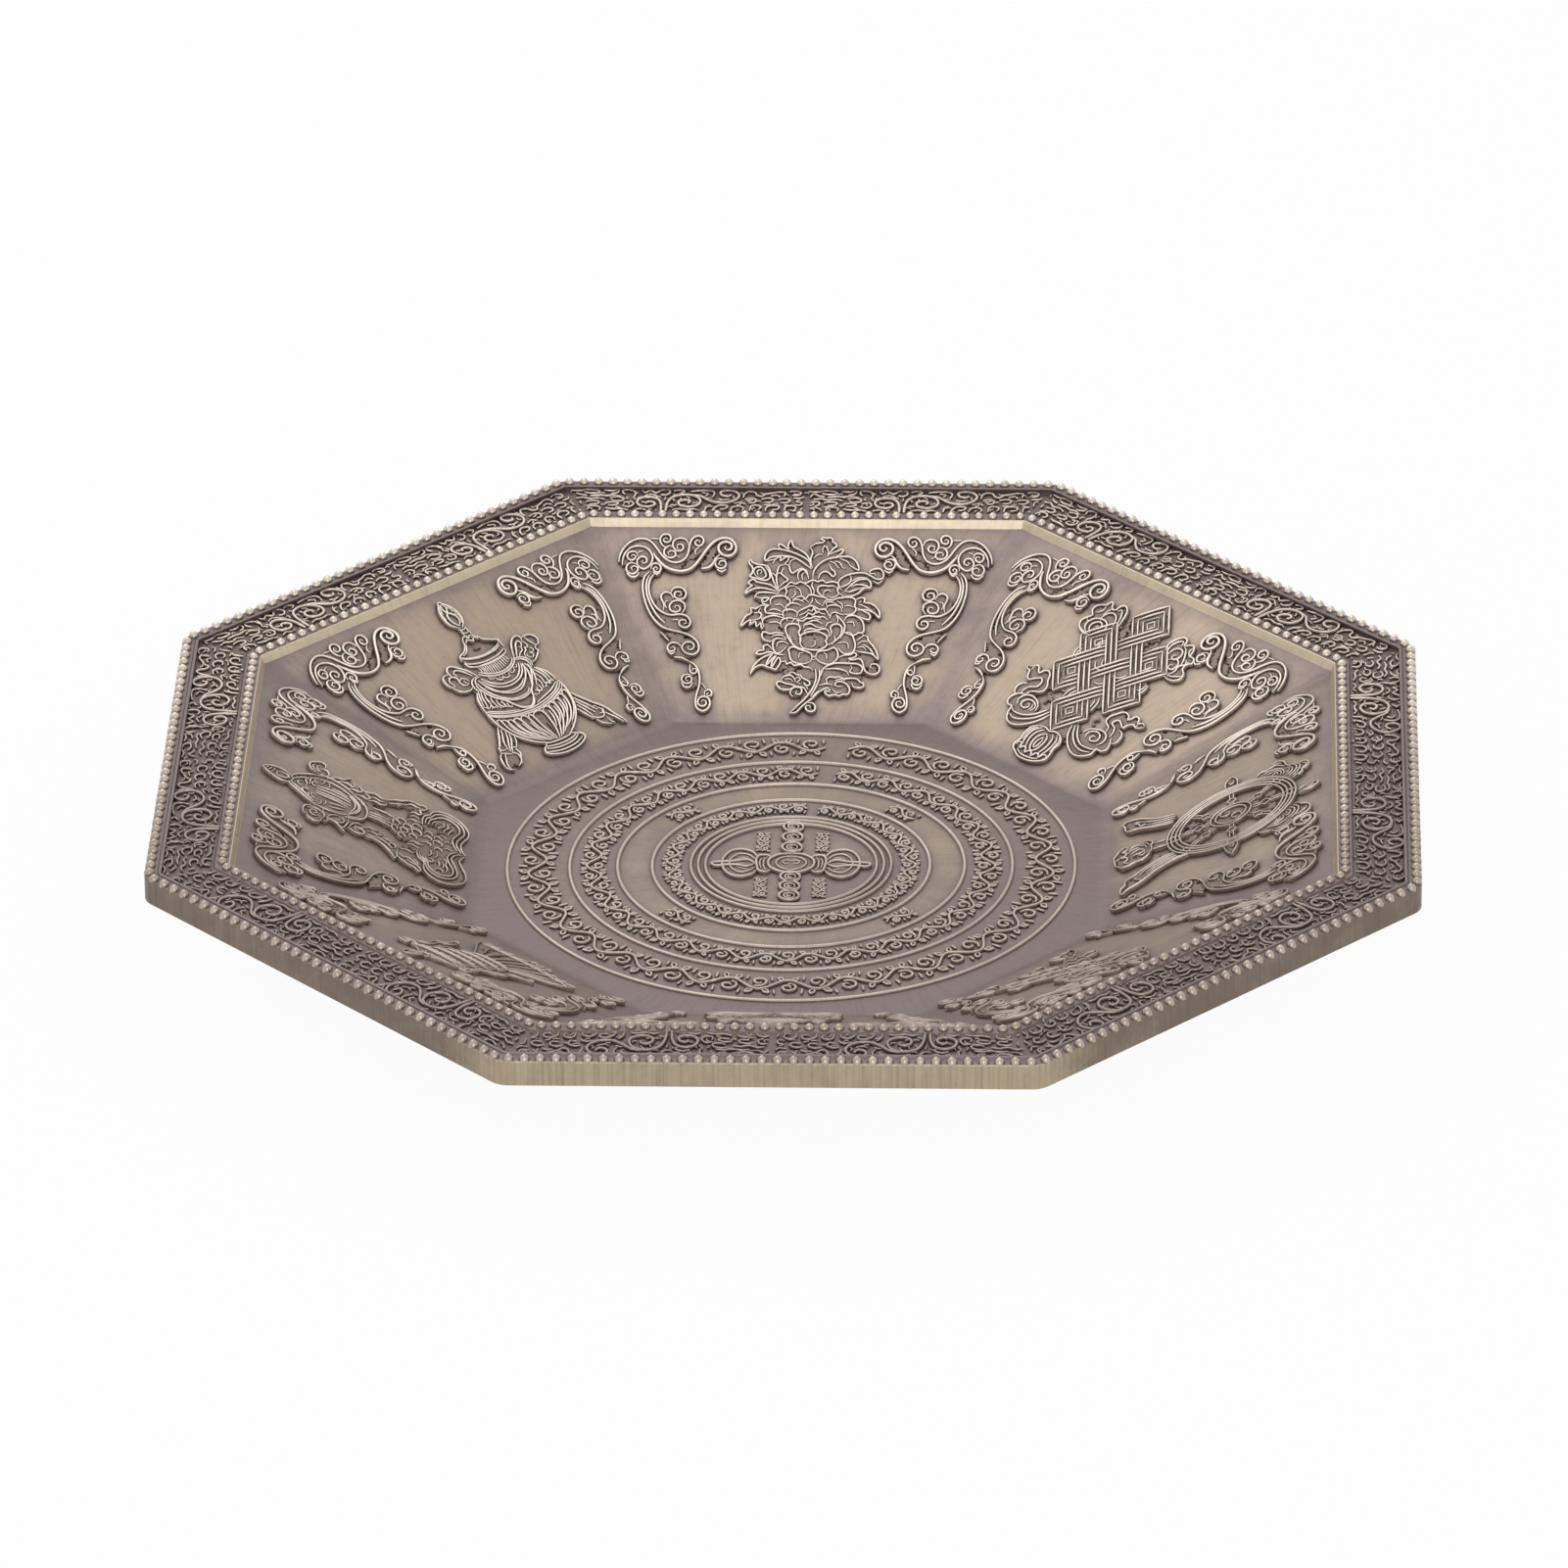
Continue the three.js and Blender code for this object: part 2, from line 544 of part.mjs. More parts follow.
// A ring on the floor, revolved from a section of [out, up] points about its radius
function floorRing(radius, section) {
  const points = section.map(([out, up]) => new THREE.Vector2(radius + out, FLOOR_THICKNESS + up));
  points.push(points[0].clone());
  const steps = Math.round((2 * Math.PI * radius) / RING_CHORD / 4) * 4;
  const geometry = new THREE.LatheGeometry(points, Math.max(steps, RING_LEAST_STEPS));
  geometry.rotateX(Math.PI / 2);
  return closedGeometry(geometry);
}

function fieldRing(radius) {
  const half = RING_WIDTH / 2;
  return floorRing(radius, [[-half, 0], [half, 0], [0, RING_HEIGHT]]);
}

// The boss ring carries several crests with shallow grooves between them
function bossRing() {
  const half = RING_WIDTH / 2;
  const crests = [];
  for (let ring = 0; ring < BOSS_RINGS; ring += 1) {
    const out = -ring * BOSS_RING_PITCH;
    if (ring > 0) crests.push([out + BOSS_RING_PITCH / 2, RING_HEIGHT / 3]);
    crests.push([out, RING_HEIGHT * 1.4]);
  }
  const inside = -(BOSS_RINGS - 1) * BOSS_RING_PITCH - half;
  return floorRing(BOSS_RADIUS, [[inside, 0], [half, 0], ...crests]);
}

// The vajra, drawn on 10 columns from its middle to each point: a round hub, two collars and
// two heads, each of curved side prongs about a straight middle prong
const VAJRA_COLUMNS = 10;
const HUB_COLUMNS = 2.15;

function vajra() {
  const scale = CENTRE_RADIUS / VAJRA_COLUMNS;
  const hub = ellipse(0, 0, 1.9 * HUB_COLUMNS, 2 * HUB_COLUMNS, scale);
  const parts = [prism(hub, 0, VAJRA_HEIGHT, 6)];
  const profile = [[1.4, 1.2], [3, 1.6], [4, 0.9], [5, 3], [6.6, 3.6], [8.2, 2.7], [8.7, 0.7], [10, 0.3]];
  for (const hand of [-1, 1]) {
    const upper = profile.map(([x, y]) => [hand * x, y]);
    const lower = profile.map(([x, y]) => [hand * x, -y]).reverse();
    const head = outline(upper.concat(lower), scale);
    head.holes.push(ellipse(hand * 6.5, 0, 2.6, 5, scale));
    parts.push(prism(head, 0, VAJRA_HEIGHT * 0.8));
    parts.push(prism(bar(hand * 4, 0, hand * 9, 0, 1, scale), 0, VAJRA_HEIGHT));
  }
  return geometryOf(joined(parts).translate([0, 0, FLOOR_THICKNESS]));
}

// Discs in a row from the vajra's hub out to the boss ring, linked by a low narrow band
function discChain(hand) {
  const hubEdge = (CENTRE_RADIUS / VAJRA_COLUMNS) * HUB_COLUMNS + CENTRE_CLEARANCE;
  const pitch = (CENTRE_RADIUS - hubEdge) / DISC_COUNT;
  const width = pitch - DISC_GAP;
  const parts = [];
  for (let disc = 0; disc < DISC_COUNT; disc += 1) {
    const y = hand * (hubEdge + pitch * (disc + 0.5));
    parts.push(prism(ellipse(0, y, width, width, 1), 0, DISC_HEIGHT, 4));
  }
  const first = hand * (hubEdge + pitch / 2);
  const last = hand * (CENTRE_RADIUS - pitch / 2);
  parts.push(prism(bar(0, first, 0, last, width / 2, 1), 0, DISC_HEIGHT / 2));
  return geometryOf(joined(parts).translate([0, 0, FLOOR_THICKNESS]));
}

function sideGroup(side) {
  const turned = new THREE.Group();
  turned.rotation.z = 2 * HALF_TURN * side - Math.PI / 2;
  const slope = new THREE.Group();
  slope.position.set(0, FLOOR_APOTHEM, FLOOR_THICKNESS);
  slope.rotation.x = PANEL_ANGLE;
  const laid = new THREE.Group();
  laid.position.y = RELIEF_FOOT_MARGIN;
  const [name, emblem] = emblems[side];
  laid.add(piece(`${name}_emblem`, geometryOf(emblem()), 'relief'));
  laid.add(piece(`left_scroll_${SIDE_NAMES[side]}`, cornerScroll(-1), 'relief'));
  laid.add(piece(`right_scroll_${SIDE_NAMES[side]}`, cornerScroll(1), 'relief'));
  slope.add(laid);
  turned.add(slope);
  const repeat = (CHANNEL_INNER + CHANNEL_OUTER) * Math.tan(HALF_TURN) / 2;
  [['left', -1], ['right', 1]].forEach(([hand, way]) => {
    const frieze = piece(`frieze_scroll_${SIDE_NAMES[side]}_${hand}`, friezeScroll(), 'frieze');
    frieze.position.set((way * repeat) / 2, CHANNEL_INNER + FRIEZE_MARGIN, 0);
    turned.add(frieze);
  });
  return turned;
}

const tray = new THREE.Group();
tray.add(piece('tray_dish', dish(), 'dish'));
const outerRow = beadRow({
  apothem: BEAD_APOTHEM,
  radius: rimRadius(BEAD_APOTHEM),
  pitch: BEAD_PITCH,
  width: BEAD_WIDTH,
  height: BEAD_HEIGHT,
  bottom: RIM_TOP,
});
const innerRow = beadRow({
  apothem: INNER_BEAD_APOTHEM,
  radius: INNER_BEAD_APOTHEM - MOUTH_APOTHEM,
  pitch: INNER_BEAD_PITCH,
  width: INNER_BEAD_WIDTH,
  height: INNER_BEAD_HEIGHT,
  bottom: LIP_TOP,
});
tray.add(piece('outer_beaded_strip', outerRow, 'beads'));
tray.add(piece('inner_beaded_strip', innerRow, 'beads'));
for (let side = 0; side < SIDES; side += 1) tray.add(sideGroup(side));
FIELD_RADII.forEach((radius, index) => {
  tray.add(piece(`field_ring_${index + 1}`, fieldRing(radius), 'field'));
});
tray.add(piece('boss_triple_ring', bossRing(), 'field'));
tray.add(piece('double_vajra', vajra(), 'field'));
tray.add(piece('disc_chain_back', discChain(1), 'field'));
tray.add(piece('disc_chain_front', discChain(-1), 'field'));

export default tray;
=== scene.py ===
# An octagonal cast fire offering tray: beaded rim, scrolled frieze, eight sloping sides with
# raised emblems and corner scrolls, and a round ornamented field on its floor.
import math
import random

import bpy
from mathutils import Matrix, Vector


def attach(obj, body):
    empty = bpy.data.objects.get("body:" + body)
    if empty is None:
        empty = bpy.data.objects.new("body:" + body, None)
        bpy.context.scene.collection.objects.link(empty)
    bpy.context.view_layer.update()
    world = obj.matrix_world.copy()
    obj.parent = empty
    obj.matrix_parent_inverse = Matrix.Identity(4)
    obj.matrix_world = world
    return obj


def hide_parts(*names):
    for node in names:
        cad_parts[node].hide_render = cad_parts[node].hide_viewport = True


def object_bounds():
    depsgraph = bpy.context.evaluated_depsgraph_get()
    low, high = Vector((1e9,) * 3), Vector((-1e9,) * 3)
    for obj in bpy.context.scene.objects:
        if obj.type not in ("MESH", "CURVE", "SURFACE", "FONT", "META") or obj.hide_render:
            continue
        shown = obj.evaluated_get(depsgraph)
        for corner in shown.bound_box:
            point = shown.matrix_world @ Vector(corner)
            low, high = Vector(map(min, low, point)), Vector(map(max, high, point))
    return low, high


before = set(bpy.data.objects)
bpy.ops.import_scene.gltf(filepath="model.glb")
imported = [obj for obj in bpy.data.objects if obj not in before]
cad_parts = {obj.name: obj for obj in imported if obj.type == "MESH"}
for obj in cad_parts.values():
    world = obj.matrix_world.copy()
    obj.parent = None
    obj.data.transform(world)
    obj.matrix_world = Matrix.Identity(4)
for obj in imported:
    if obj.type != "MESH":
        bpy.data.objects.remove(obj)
cad_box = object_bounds()

MM = 0.001

# Driving sizes in millimetres. The dish has those of the solids, but for sharper corners and a
# sharper edge on its rim
SIDES = 8
FLOOR_WIDTH = 81.2
SIDE_RUN = 29.3
FRIEZE_WIDTH = 6.53
WELL_DEPTH = 15.4
FLOOR_TOP = 2.2
WALL = 2.0
SKIRT_HEIGHT = 3.4
SKIRT_THICKNESS = 2.0
RIM_THICKNESS = 2.6
RIM_BREAK = 0.14
CORNER_RADIUS = 3.0
CORNER_STEPS = 7
LIP_DROP = 1.1
LIP_LEAN = 0.5
CHANNEL_DEPTH = 0.5
LEDGE_DROP = 0.3
LEDGE_WIDTH = 1.9
FILLET_WIDTH = 0.5
FILLET_HEIGHT = 0.25
TOP_BREAK = 0.1
FILLET_DRAFT = 0.12
CHANNEL_DRAFT = 0.1
OUTER_BEADS = {"pitch": 1.93, "width": 1.38, "height": 0.95}
INNER_BEADS = {"pitch": 1.85, "width": 1.32, "height": 0.85}
BEAD_SETBACK = 0.64
BEAD_SINK = 0.1
BEAD_POINT = 0.14
FIELD_MARGIN = 3.8
FIELD_BANDS = (8.1, 6.2, 4.5, 5.0)
FIELD_RING = (0.6, 0.35)
BOSS_RING = (0.52, 0.45)
BOSS_RING_PITCH = 0.95
BOSS_RINGS = 3

# Sizes worked out from the frame and the driving ones
HALF_TURN = math.pi / SIDES
RIM_APOTHEM = round(cad_box[1][0] / MM, 3)
RIM_TOP = FLOOR_TOP + WELL_DEPTH
SKIRT_FOOT = RIM_TOP - SKIRT_HEIGHT
SKIRT_INSIDE = RIM_APOTHEM - SKIRT_THICKNESS
RIM_UNDERSIDE = RIM_TOP - RIM_THICKNESS
FLOOR_APOTHEM = FLOOR_WIDTH / 2
PANEL_TOP_APOTHEM = FLOOR_APOTHEM + SIDE_RUN
MOUTH_APOTHEM = PANEL_TOP_APOTHEM + LIP_LEAN
INNER_BEAD_APOTHEM = MOUTH_APOTHEM + LEDGE_WIDTH / 2
CHANNEL_INNER = MOUTH_APOTHEM + LEDGE_WIDTH
CHANNEL_OUTER = CHANNEL_INNER + FRIEZE_WIDTH
CHANNEL_FLOOR = RIM_TOP - CHANNEL_DEPTH
FILLET_APOTHEM = CHANNEL_OUTER + FILLET_WIDTH
FILLET_TOP = RIM_TOP + FILLET_HEIGHT
BEAD_APOTHEM = RIM_APOTHEM - BEAD_SETBACK
LIP_TOP = RIM_TOP - LEDGE_DROP
LIP_FOOT = LIP_TOP - LIP_DROP
PANEL_ANGLE = math.atan2(LIP_FOOT - FLOOR_TOP, SIDE_RUN)
MITRE_AT_MIDDLE = (FLOOR_APOTHEM + SIDE_RUN / 2) * math.tan(HALF_TURN)
FIELD_RADII = [FLOOR_APOTHEM - FIELD_MARGIN - sum(FIELD_BANDS[:band]) for band in range(len(FIELD_BANDS))]
BOSS_RADIUS = FIELD_RADII[-1] - FIELD_BANDS[-1]
BOSS_RADII = [BOSS_RADIUS - BOSS_RING_PITCH * ring for ring in range(BOSS_RINGS)]

# How wide the finished casting's edges are rounded off
FLOOR_EDGE = 1.0
MITRE_EDGE = 1.75
LEVEL_EDGE = 0.1
UPRIGHT_EDGE = 0.2
WIDEST_EDGE = 2.5
EDGE_STEPS = 4
LEAST_EDGE_TURN = 9
LEVEL_WITHIN = 0.1
LEAST_MITRE_RISE = 10

# Vine scrolls in the floor's bands: radius and half height of each
TENDRIL_BANDS = ((32.9, 2.6), (25.6, 1.95), (15.5, 1.4))
TENDRIL_GROUPS = 4
TENDRIL_GROUP_RADIUS = 20.2
TENDRIL_GROUP_HALF_HEIGHT = 1.4
TENDRIL_GROUP_LENGTH = 4.5
TENDRIL_GROUP_TURN = 0.66
BOSS_TENDRIL_FEET = ((-3.8, 3.5), (3.9, 3.5), (-3.8, -9.0), (3.8, -9.0))
BOSS_TENDRIL_HALF_HEIGHT = 0.95
BOSS_TENDRIL_LENGTH = 5.2

# A side's relief is drawn on a sheet as fine as SHEET_STEP, its rows counted downwards,
# and worked in drawing units, up the slope from a foot margin
SHEET_STEP = 0.02269
SHEET_MIDDLE = 498.6
SHEET_FOOT = 1350
MIRROR_COLUMN = 531
SCROLL_SHEET_MIDDLE = 149.5
KNOT_SHEET_MIDDLE = 515.7
FRIEZE_SHEET_STEP = 0.0408
FRIEZE_SHEET_MIDDLE = 470
FRIEZE_SHEET_FOOT = 304
SCEPTRE_SHEET_STEP = 0.0545
SCEPTRE_SHEET_MIDDLE = 757
SCEPTRE_SHEET_FOOT = 754
DRAWN_HEIGHT = 0.6
DRAWING_UNIT = 0.0299
RELIEF_FOOT = 1.15

# The plates and lines of the reliefs, and the lines that stand on bare ground
PLATE_TOP = 0.36
PLATE_AXIS = PLATE_TOP - 0.1
PLATE_FLAT = PLATE_TOP - 0.08
PLATE_WALL = PLATE_TOP - 0.18
PLATE_SINK = 0.12
PLATE_REACH = 0.16
PLATE_VOXEL = 0.125
PLATE_KEPT = 0.4
LINE_TOP = 0.64
LINE_RADIUS = 0.14
SCROLL_RADIUS = 0.155
LINE_SPACING = 12
LINE_TAPER = 0.5
PLATE_SPACING = 9
WIRE_SPACING = 10
WIRE_TAPER = 0.4
BOLD = 1.35
TAPER_STEPS = 4
VAJRA_FLATTENED = 0.7
FRIEZE_WIRE = (0.19, 0.2)
BAND_WIRE = (0.25, 0.16)
BOSS_WIRE = (0.18, 0.14)
CHAIN_WIRE = (0.2, 0.2)

# In drawing units: what fills the plates under close lines and the frieze between its scrolls,
# and the figures that are worked out
FILL_STEP = 12
FILL_SIGHT = 68
FILL_SECTORS = 8
FRIEZE_HALF_WIDTH = 525
FRIEZE_HEIGHT = 214
FRIEZE_MITRE_MARGIN = 8
FRIEZE_MIDDLES = (-16.3, 15.7)
HOOK_TRIES = 700
HOOK_GAP = 17
HOOK_STEP = 0.62
KNOT_MIDDLE = (19, 590)
KNOT_STEP = (79, 93)
KNOT_BAND = 0.2
KNOT_GAP = 0.24
WHEEL_MIDDLE = (37, 576)
WHEEL_RIMS = (255, 240, 222, 206)
WHEEL_HUB = (82, 62)
WHEEL_SPOKES = ((84, 112), (152, 200))
FISH_HALF_WIDTHS = (20, 62, 88, 98, 100, 96, 88, 76, 62, 46, 30)
CHAIN_DISCS = {"back": (150, 245, 341), "front": (-120, -206, -293)}
DISC_REACHES = (43, 24, 14)

# The camera, seen from the tray, its distances in reaches of the tray
CAMERA_RISE = math.radians(27.634)
CAMERA_TURN = math.radians(2.087)
CAMERA_ROLL = math.radians(0.564)
CAMERA_REACH = 87.67
CAMERA_BACK = 18.311
CAMERA_RIGHT = -0.00929
CAMERA_UP = -0.03533
CAMERA_LENS = 285.68
CAMERA_FILM = 36

SIDE_NAMES = ("east", "northeast", "north", "northwest", "west", "southwest", "south", "southeast")
EMBLEM_NAMES = ("wheel_of_law", "endless_knot", "lotus_flower", "treasure_vase", "parasol",
                "victory_banner", "conch_shell", "golden_fish")

# The drawings, a row for each line: the column and row of each of its points. * marks a bold line,
# = a line that is drawn again as its mirror image
SCROLL = """
58,245 62,205 78,158 108,112 148,82 190,72 226,82 256,110 282,148 308,192 338,228 376,248 415,246
  445,224 463,186 470,140 476,100 492,66 520,50 545,60 555,90 540,122 515,122 503,98 514,78 532,86
  528,100
533,128 514,146 504,165 512,188
80,270 80,232 92,186 120,146 160,128 202,134 236,160 256,205 252,250 232,285 205,300 178,285 165,255
  172,222 195,206 220,220 222,248 205,258 192,244 200,232
198,163 180,166 168,178
170,205 160,175 135,168 110,185 108,215 128,235 152,225 155,200 140,190 128,202
160,262 135,250 110,268 103,300 118,330 150,335 172,312 168,285 148,275 130,290 140,308
* 108,330 135,360 165,355 180,325
250,300 252,270 275,255 302,270 308,300 295,325 272,318 264,295 278,280 290,292 280,303
* 262,318 285,340 303,320
* 262,178 272,205 298,245 335,285 385,310 435,315 482,298 518,255 550,198 582,140 620,92 665,68 712,76
  742,115 746,160 722,196 685,200 655,178 642,140 655,108 690,94 720,115 718,148 692,155 678,138 690,122
240,70 290,72
345,140 318,128 300,100 298,68 315,42 345,40 361,65 352,95 325,98 316,75 330,62 342,76
466,115 456,85 430,68 398,72 375,95 375,132 395,162 425,160 437,135 420,112 398,118 398,140 410,146
375,128 350,125 328,147 322,180 338,208 368,215 390,200 388,172 362,160 344,174 352,190
395,190 415,212
* 545,292 590,285 618,252 632,212 655,185
655,185 690,200
690,226 655,213 630,232 628,265 646,290 676,290 692,262 680,236 655,238 646,258 660,268
* 640,295 665,318 692,295
240,315 216,350 205,400 208,470 225,550 255,630 298,698 340,735 400,757 460,775 510,805 543,850 547,900
  522,930 485,928 456,903 450,870 470,843 500,840 520,862 514,890 490,895 482,878 494,868
272,330 250,370 240,430 250,500 280,570 320,615 370,640 430,635 472,650 494,688 486,720 462,735 435,722
  426,695 442,675 466,680 468,700 455,702
240,345 226,400 230,480 254,560 294,640 345,700
385,675 415,672 432,680
372,480 380,448 410,433 445,445 462,482 448,518 415,522 393,500 400,470 428,466 436,488 420,498
388,515 376,486 350,470 322,482 315,512 328,545 335,575 330,605
352,590 338,560 345,535 362,530
440,622 458,590 450,550 415,532 380,545 366,580 380,612 412,618 430,600 424,574 402,568 398,586
320,765 345,795 372,830
450,890 438,862 410,845 380,850 364,876 372,906 398,908 410,885 396,870 384,882
* 368,905 388,930 410,910
* 405,950 450,958 492,978
490,978 522,1000 546,1040 558,1090 560,1150 546,1220 540,1280 550,1325 582,1348 612,1330 626,1290
  612,1250 578,1240 556,1262 556,1296 580,1312 602,1298 600,1270 580,1262 572,1280
500,1000 500,1035 505,1062 522,1076 540,1062 538,1038 518,1032 512,1050
515,1085 490,1075 462,1088 454,1120 475,1145 505,1140 515,1112 498,1092 476,1104 482,1124 494,1120
* 455,1135 470,1170 505,1172 518,1135
572,1138 590,1165 600,1185
592,1232 592,1200 612,1188 632,1205 630,1232 610,1238 604,1218 616,1210
"""

LOTUS = """
# top right leaf and finial
540,265 528,200 540,150 525,110
522,108 560,80 596,76 610,62 586,50 600,36 622,44 640,36 658,50 654,68 672,80 680,104 662,118 640,150
  625,180
600,150 598,118 606,98 622,110 632,140 628,175
545,190 570,165 600,160
640,158 675,140 712,124 722,132 712,152 668,188
545,345 548,290 580,235 625,200 680,184 740,178 780,195 805,230 815,280 780,258 760,240
700,190 745,215 762,245
640,212 670,225 690,258 700,262
668,210 700,222 720,262 735,262
575,345 590,305 620,290 648,310 662,330 678,312 672,290 655,275 640,235
# top left leaf
530,262 520,200 498,160 460,130 425,105 412,60 392,100 400,130 365,100 338,88 340,112 368,132
535,270 500,240 450,200 400,180 340,178 290,188 262,215 258,180 275,145 310,125 368,132 420,150 470,175
  510,205 538,245
262,215 300,205 330,190
305,235 320,200 352,180 348,215 375,190 400,182 392,215 372,235
372,235 400,245 410,285 425,305 450,285 480,268 500,290 520,330
405,240 412,210 440,195
# leaf upper left
340,430 315,370 300,320 275,255 215,240 185,225 175,205 165,225 190,270 185,310 172,330 210,345 260,360
  290,345 288,300 262,255
215,330 195,300 205,265 240,262 262,295 268,330 240,345 215,330
222,320 215,290 238,280 245,300 232,305
345,430 330,340 345,250 370,245
325,330 345,300 372,325 400,355 375,375 345,410
370,330 360,300 372,262
300,300 330,330 335,380
# leaf left lower
345,435 300,395 250,380 215,372 192,350 165,380 190,400 165,420 150,458 185,430 230,415 290,425 340,440
205,490 215,460 245,448 300,450 345,455
208,470 235,490 290,490 262,520 250,490
# stem bits under the top leaves
462,355 455,310 475,280 505,285 520,345
485,355 480,315 495,295
# leaf right upper with curl
695,400 700,355 740,320 800,300 850,302 890,325 920,345 955,340 960,300 940,268 905,270 878,288 880,305
  905,300 915,320
900,355 930,375 955,350
720,425 700,410 735,395 765,370 770,330 760,312
735,432 765,395 810,355 860,345 885,370 885,410 850,392 800,385 770,400
770,360 820,335 870,335
735,470 780,470 815,450 835,425 858,408 885,412
735,432 760,440 800,425 855,400
# outer petals
345,455 350,430 375,415 395,395 415,372 445,385 470,368 500,380 545,355 575,368 600,355 625,375 655,365
  690,375 700,400 692,425 700,450 730,470
400,500 385,470 395,440 385,420 410,400 440,395
440,400 470,425 480,460 478,475
490,380 520,400 535,430 540,465
545,360 540,400 555,430 550,465
640,490 600,470 575,440 580,405 610,395 635,400 665,395 690,410
610,470 612,440 640,425 655,445
690,425 698,460 660,485 640,470
420,490 445,460 440,435
# second ring
300,540 300,500 325,478 375,475 410,500 415,530 400,550
325,540 360,535 385,565
430,500 455,480 490,478 505,500 520,470 545,465 575,475 605,480 630,490
400,590 390,555 415,530 450,528 480,545
430,520 435,500 470,500 500,520
480,510 500,495 525,520
545,480 545,510 525,540
560,490 575,520 610,545
610,540 618,510 645,500 665,505 690,490 720,485 750,480 790,490 800,515 795,550 805,565 790,600 750,610
  735,600
625,570 640,545 680,540 715,555 720,590
635,545 625,520 660,515 690,530
690,505 720,530 725,560
735,545 760,540 790,550
245,495 255,530 290,545 270,560 275,600 310,605 365,610 385,620
295,580 320,570 370,590
# left leaf middle
290,545 245,545 215,570 185,565 190,600 155,630 130,700 165,665 190,655 180,690 215,665 222,705 245,675
  252,720 265,690
205,600 245,600 240,640 190,655
245,560 232,590 262,620
260,660 248,640 262,625
# right leaf middle
800,500 825,482 855,492 850,520 885,525 920,550 942,590 940,632 915,600 880,580 850,572 810,575
810,560 860,590 885,610 885,645 855,640 820,620
815,530 850,545 900,580
820,520 835,505
# third ring sides
265,700 255,660 275,635 320,620 365,630 385,640
295,670 340,665 365,685
385,750 345,745 300,755 265,740 255,770 270,800 315,810 325,790
310,780 325,765 375,765 400,790
380,640 375,590 400,575 435,578 460,600 455,630
370,705 362,670 380,645 415,635 445,640
400,660 400,640 425,630
735,655 750,625 790,615 830,640 850,680 850,740 820,745 790,765 740,740
750,665 790,665 795,700
735,610 700,600 680,590 660,600 650,640
690,610 720,650 740,690 735,740 715,785
685,605 700,640 695,670
# heart
455,600 475,580 510,560 540,545 560,555 590,575 620,570 640,600 655,630
470,615 500,600 530,570
480,640 510,625 525,600 550,615 575,590 600,600 625,605
520,570 545,585 555,560 575,600 590,570
460,650 490,660 515,640 540,640 560,625 590,630 615,625 640,650
500,680 530,665 555,655 585,660 610,680
555,630 575,645 600,640
500,710 500,690 540,680 570,700 600,705 615,695
# inner cup petals
540,870 470,860 430,820 405,770 392,720 402,690 435,680 470,690 480,720 470,745 485,790 480,830
455,650 470,665 462,690
415,760 440,840 460,855
480,820 482,770 515,745 560,735 600,745 640,775 630,810 640,835 600,870 550,872 500,860 480,820
545,850 570,830 565,800
510,760 505,730 540,715 580,725 625,715 650,740 645,775
640,835 680,810 715,770 725,720 715,690 690,680 665,690 655,710 665,740 655,770
680,760 685,800 665,830
430,670 445,640 480,650
630,700 640,670 665,665
# lower ring
400,850 370,890 345,900 325,870 322,820 340,790 380,790 400,795
345,850 350,820 385,810 415,830
540,960 500,975 460,970 430,945 420,900 415,870 440,850 480,870 530,890 550,905 552,940 540,960
475,930 480,895 500,890
575,930 580,895 600,880 640,875 680,855 700,880 705,920 690,955 650,980 600,960 575,930
640,940 635,900 620,890
550,900 565,925 580,900
555,945 575,935
735,740 775,745 795,790 805,840 790,890 745,900 720,880 700,850
730,810 760,820 765,860
700,820 735,810
# bottom left leaf
320,870 290,835 265,850 270,875 240,880 225,905 260,905 300,890 350,905 395,905
195,1050 215,990 260,935 320,905 300,940 285,990 320,940 345,915 320,960 320,1000 355,930 370,960
  355,1000 345,1020 320,1010 290,1000 260,985 220,1005 195,1050
370,960 400,955 405,980 430,965 450,990 485,980 510,1000 540,1000 560,1020
# bottom right leaf
850,760 875,770 880,800 915,850 935,900 940,940 915,910 890,895 860,890 820,880 805,870
845,745 850,765 810,800
815,830 845,805 880,805
850,830 890,860 930,935
815,850 850,845 870,870
700,930 740,910 780,905 800,890 815,910 795,930 765,935 790,945 830,935 850,960 860,1010 880,1040
  915,1050 945,1035 950,1000 930,975 900,975 895,995 915,1005
770,960 775,940
600,1045 630,1000 690,970 760,970 820,975 850,1000 840,1040 800,1045 775,1030 790,1000 780,980
630,1010 700,1010 760,1030 770,1060
# stems
575,1010 580,1090 560,1160 520,1230 470,1290 435,1330
597,1010 600,1080 580,1150 550,1215
620,1020 605,1060 590,1100
430,1335 470,1330 510,1280 560,1230 600,1180 650,1150 665,1165 640,1180
600,1130 640,1120 680,1125
560,1220 590,1180 620,1165
# left blossom
535,1200 510,1150 475,1150 440,1130 400,1120 365,1105 350,1125 375,1160 420,1165 455,1140
375,1100 390,1070 430,1060 455,1085 460,1110
415,1055 440,1035 465,1055 490,1060 500,1080 540,1105 545,1130 520,1135 510,1110 535,1160
455,1085 480,1070 490,1090 470,1110 490,1120
395,1085 430,1085 445,1105
450,1215 430,1190 445,1155 480,1145 500,1170 490,1200 465,1195 470,1170
# right blossom
665,1180 640,1165 635,1190 660,1210 690,1200 720,1210 740,1195 765,1200 780,1170 765,1130 730,1105
  700,1110 690,1130 710,1140 740,1135
650,1120 640,1090 660,1070 690,1075 720,1070 740,1085 780,1080 820,1085 840,1110 855,1115 860,1140
  825,1150 800,1140 790,1110
680,1160 700,1185 740,1175
690,1095 720,1085 750,1095
# foot curl
530,1260 560,1260 580,1285 575,1320 545,1325 525,1305 530,1280 550,1280 552,1300
"""

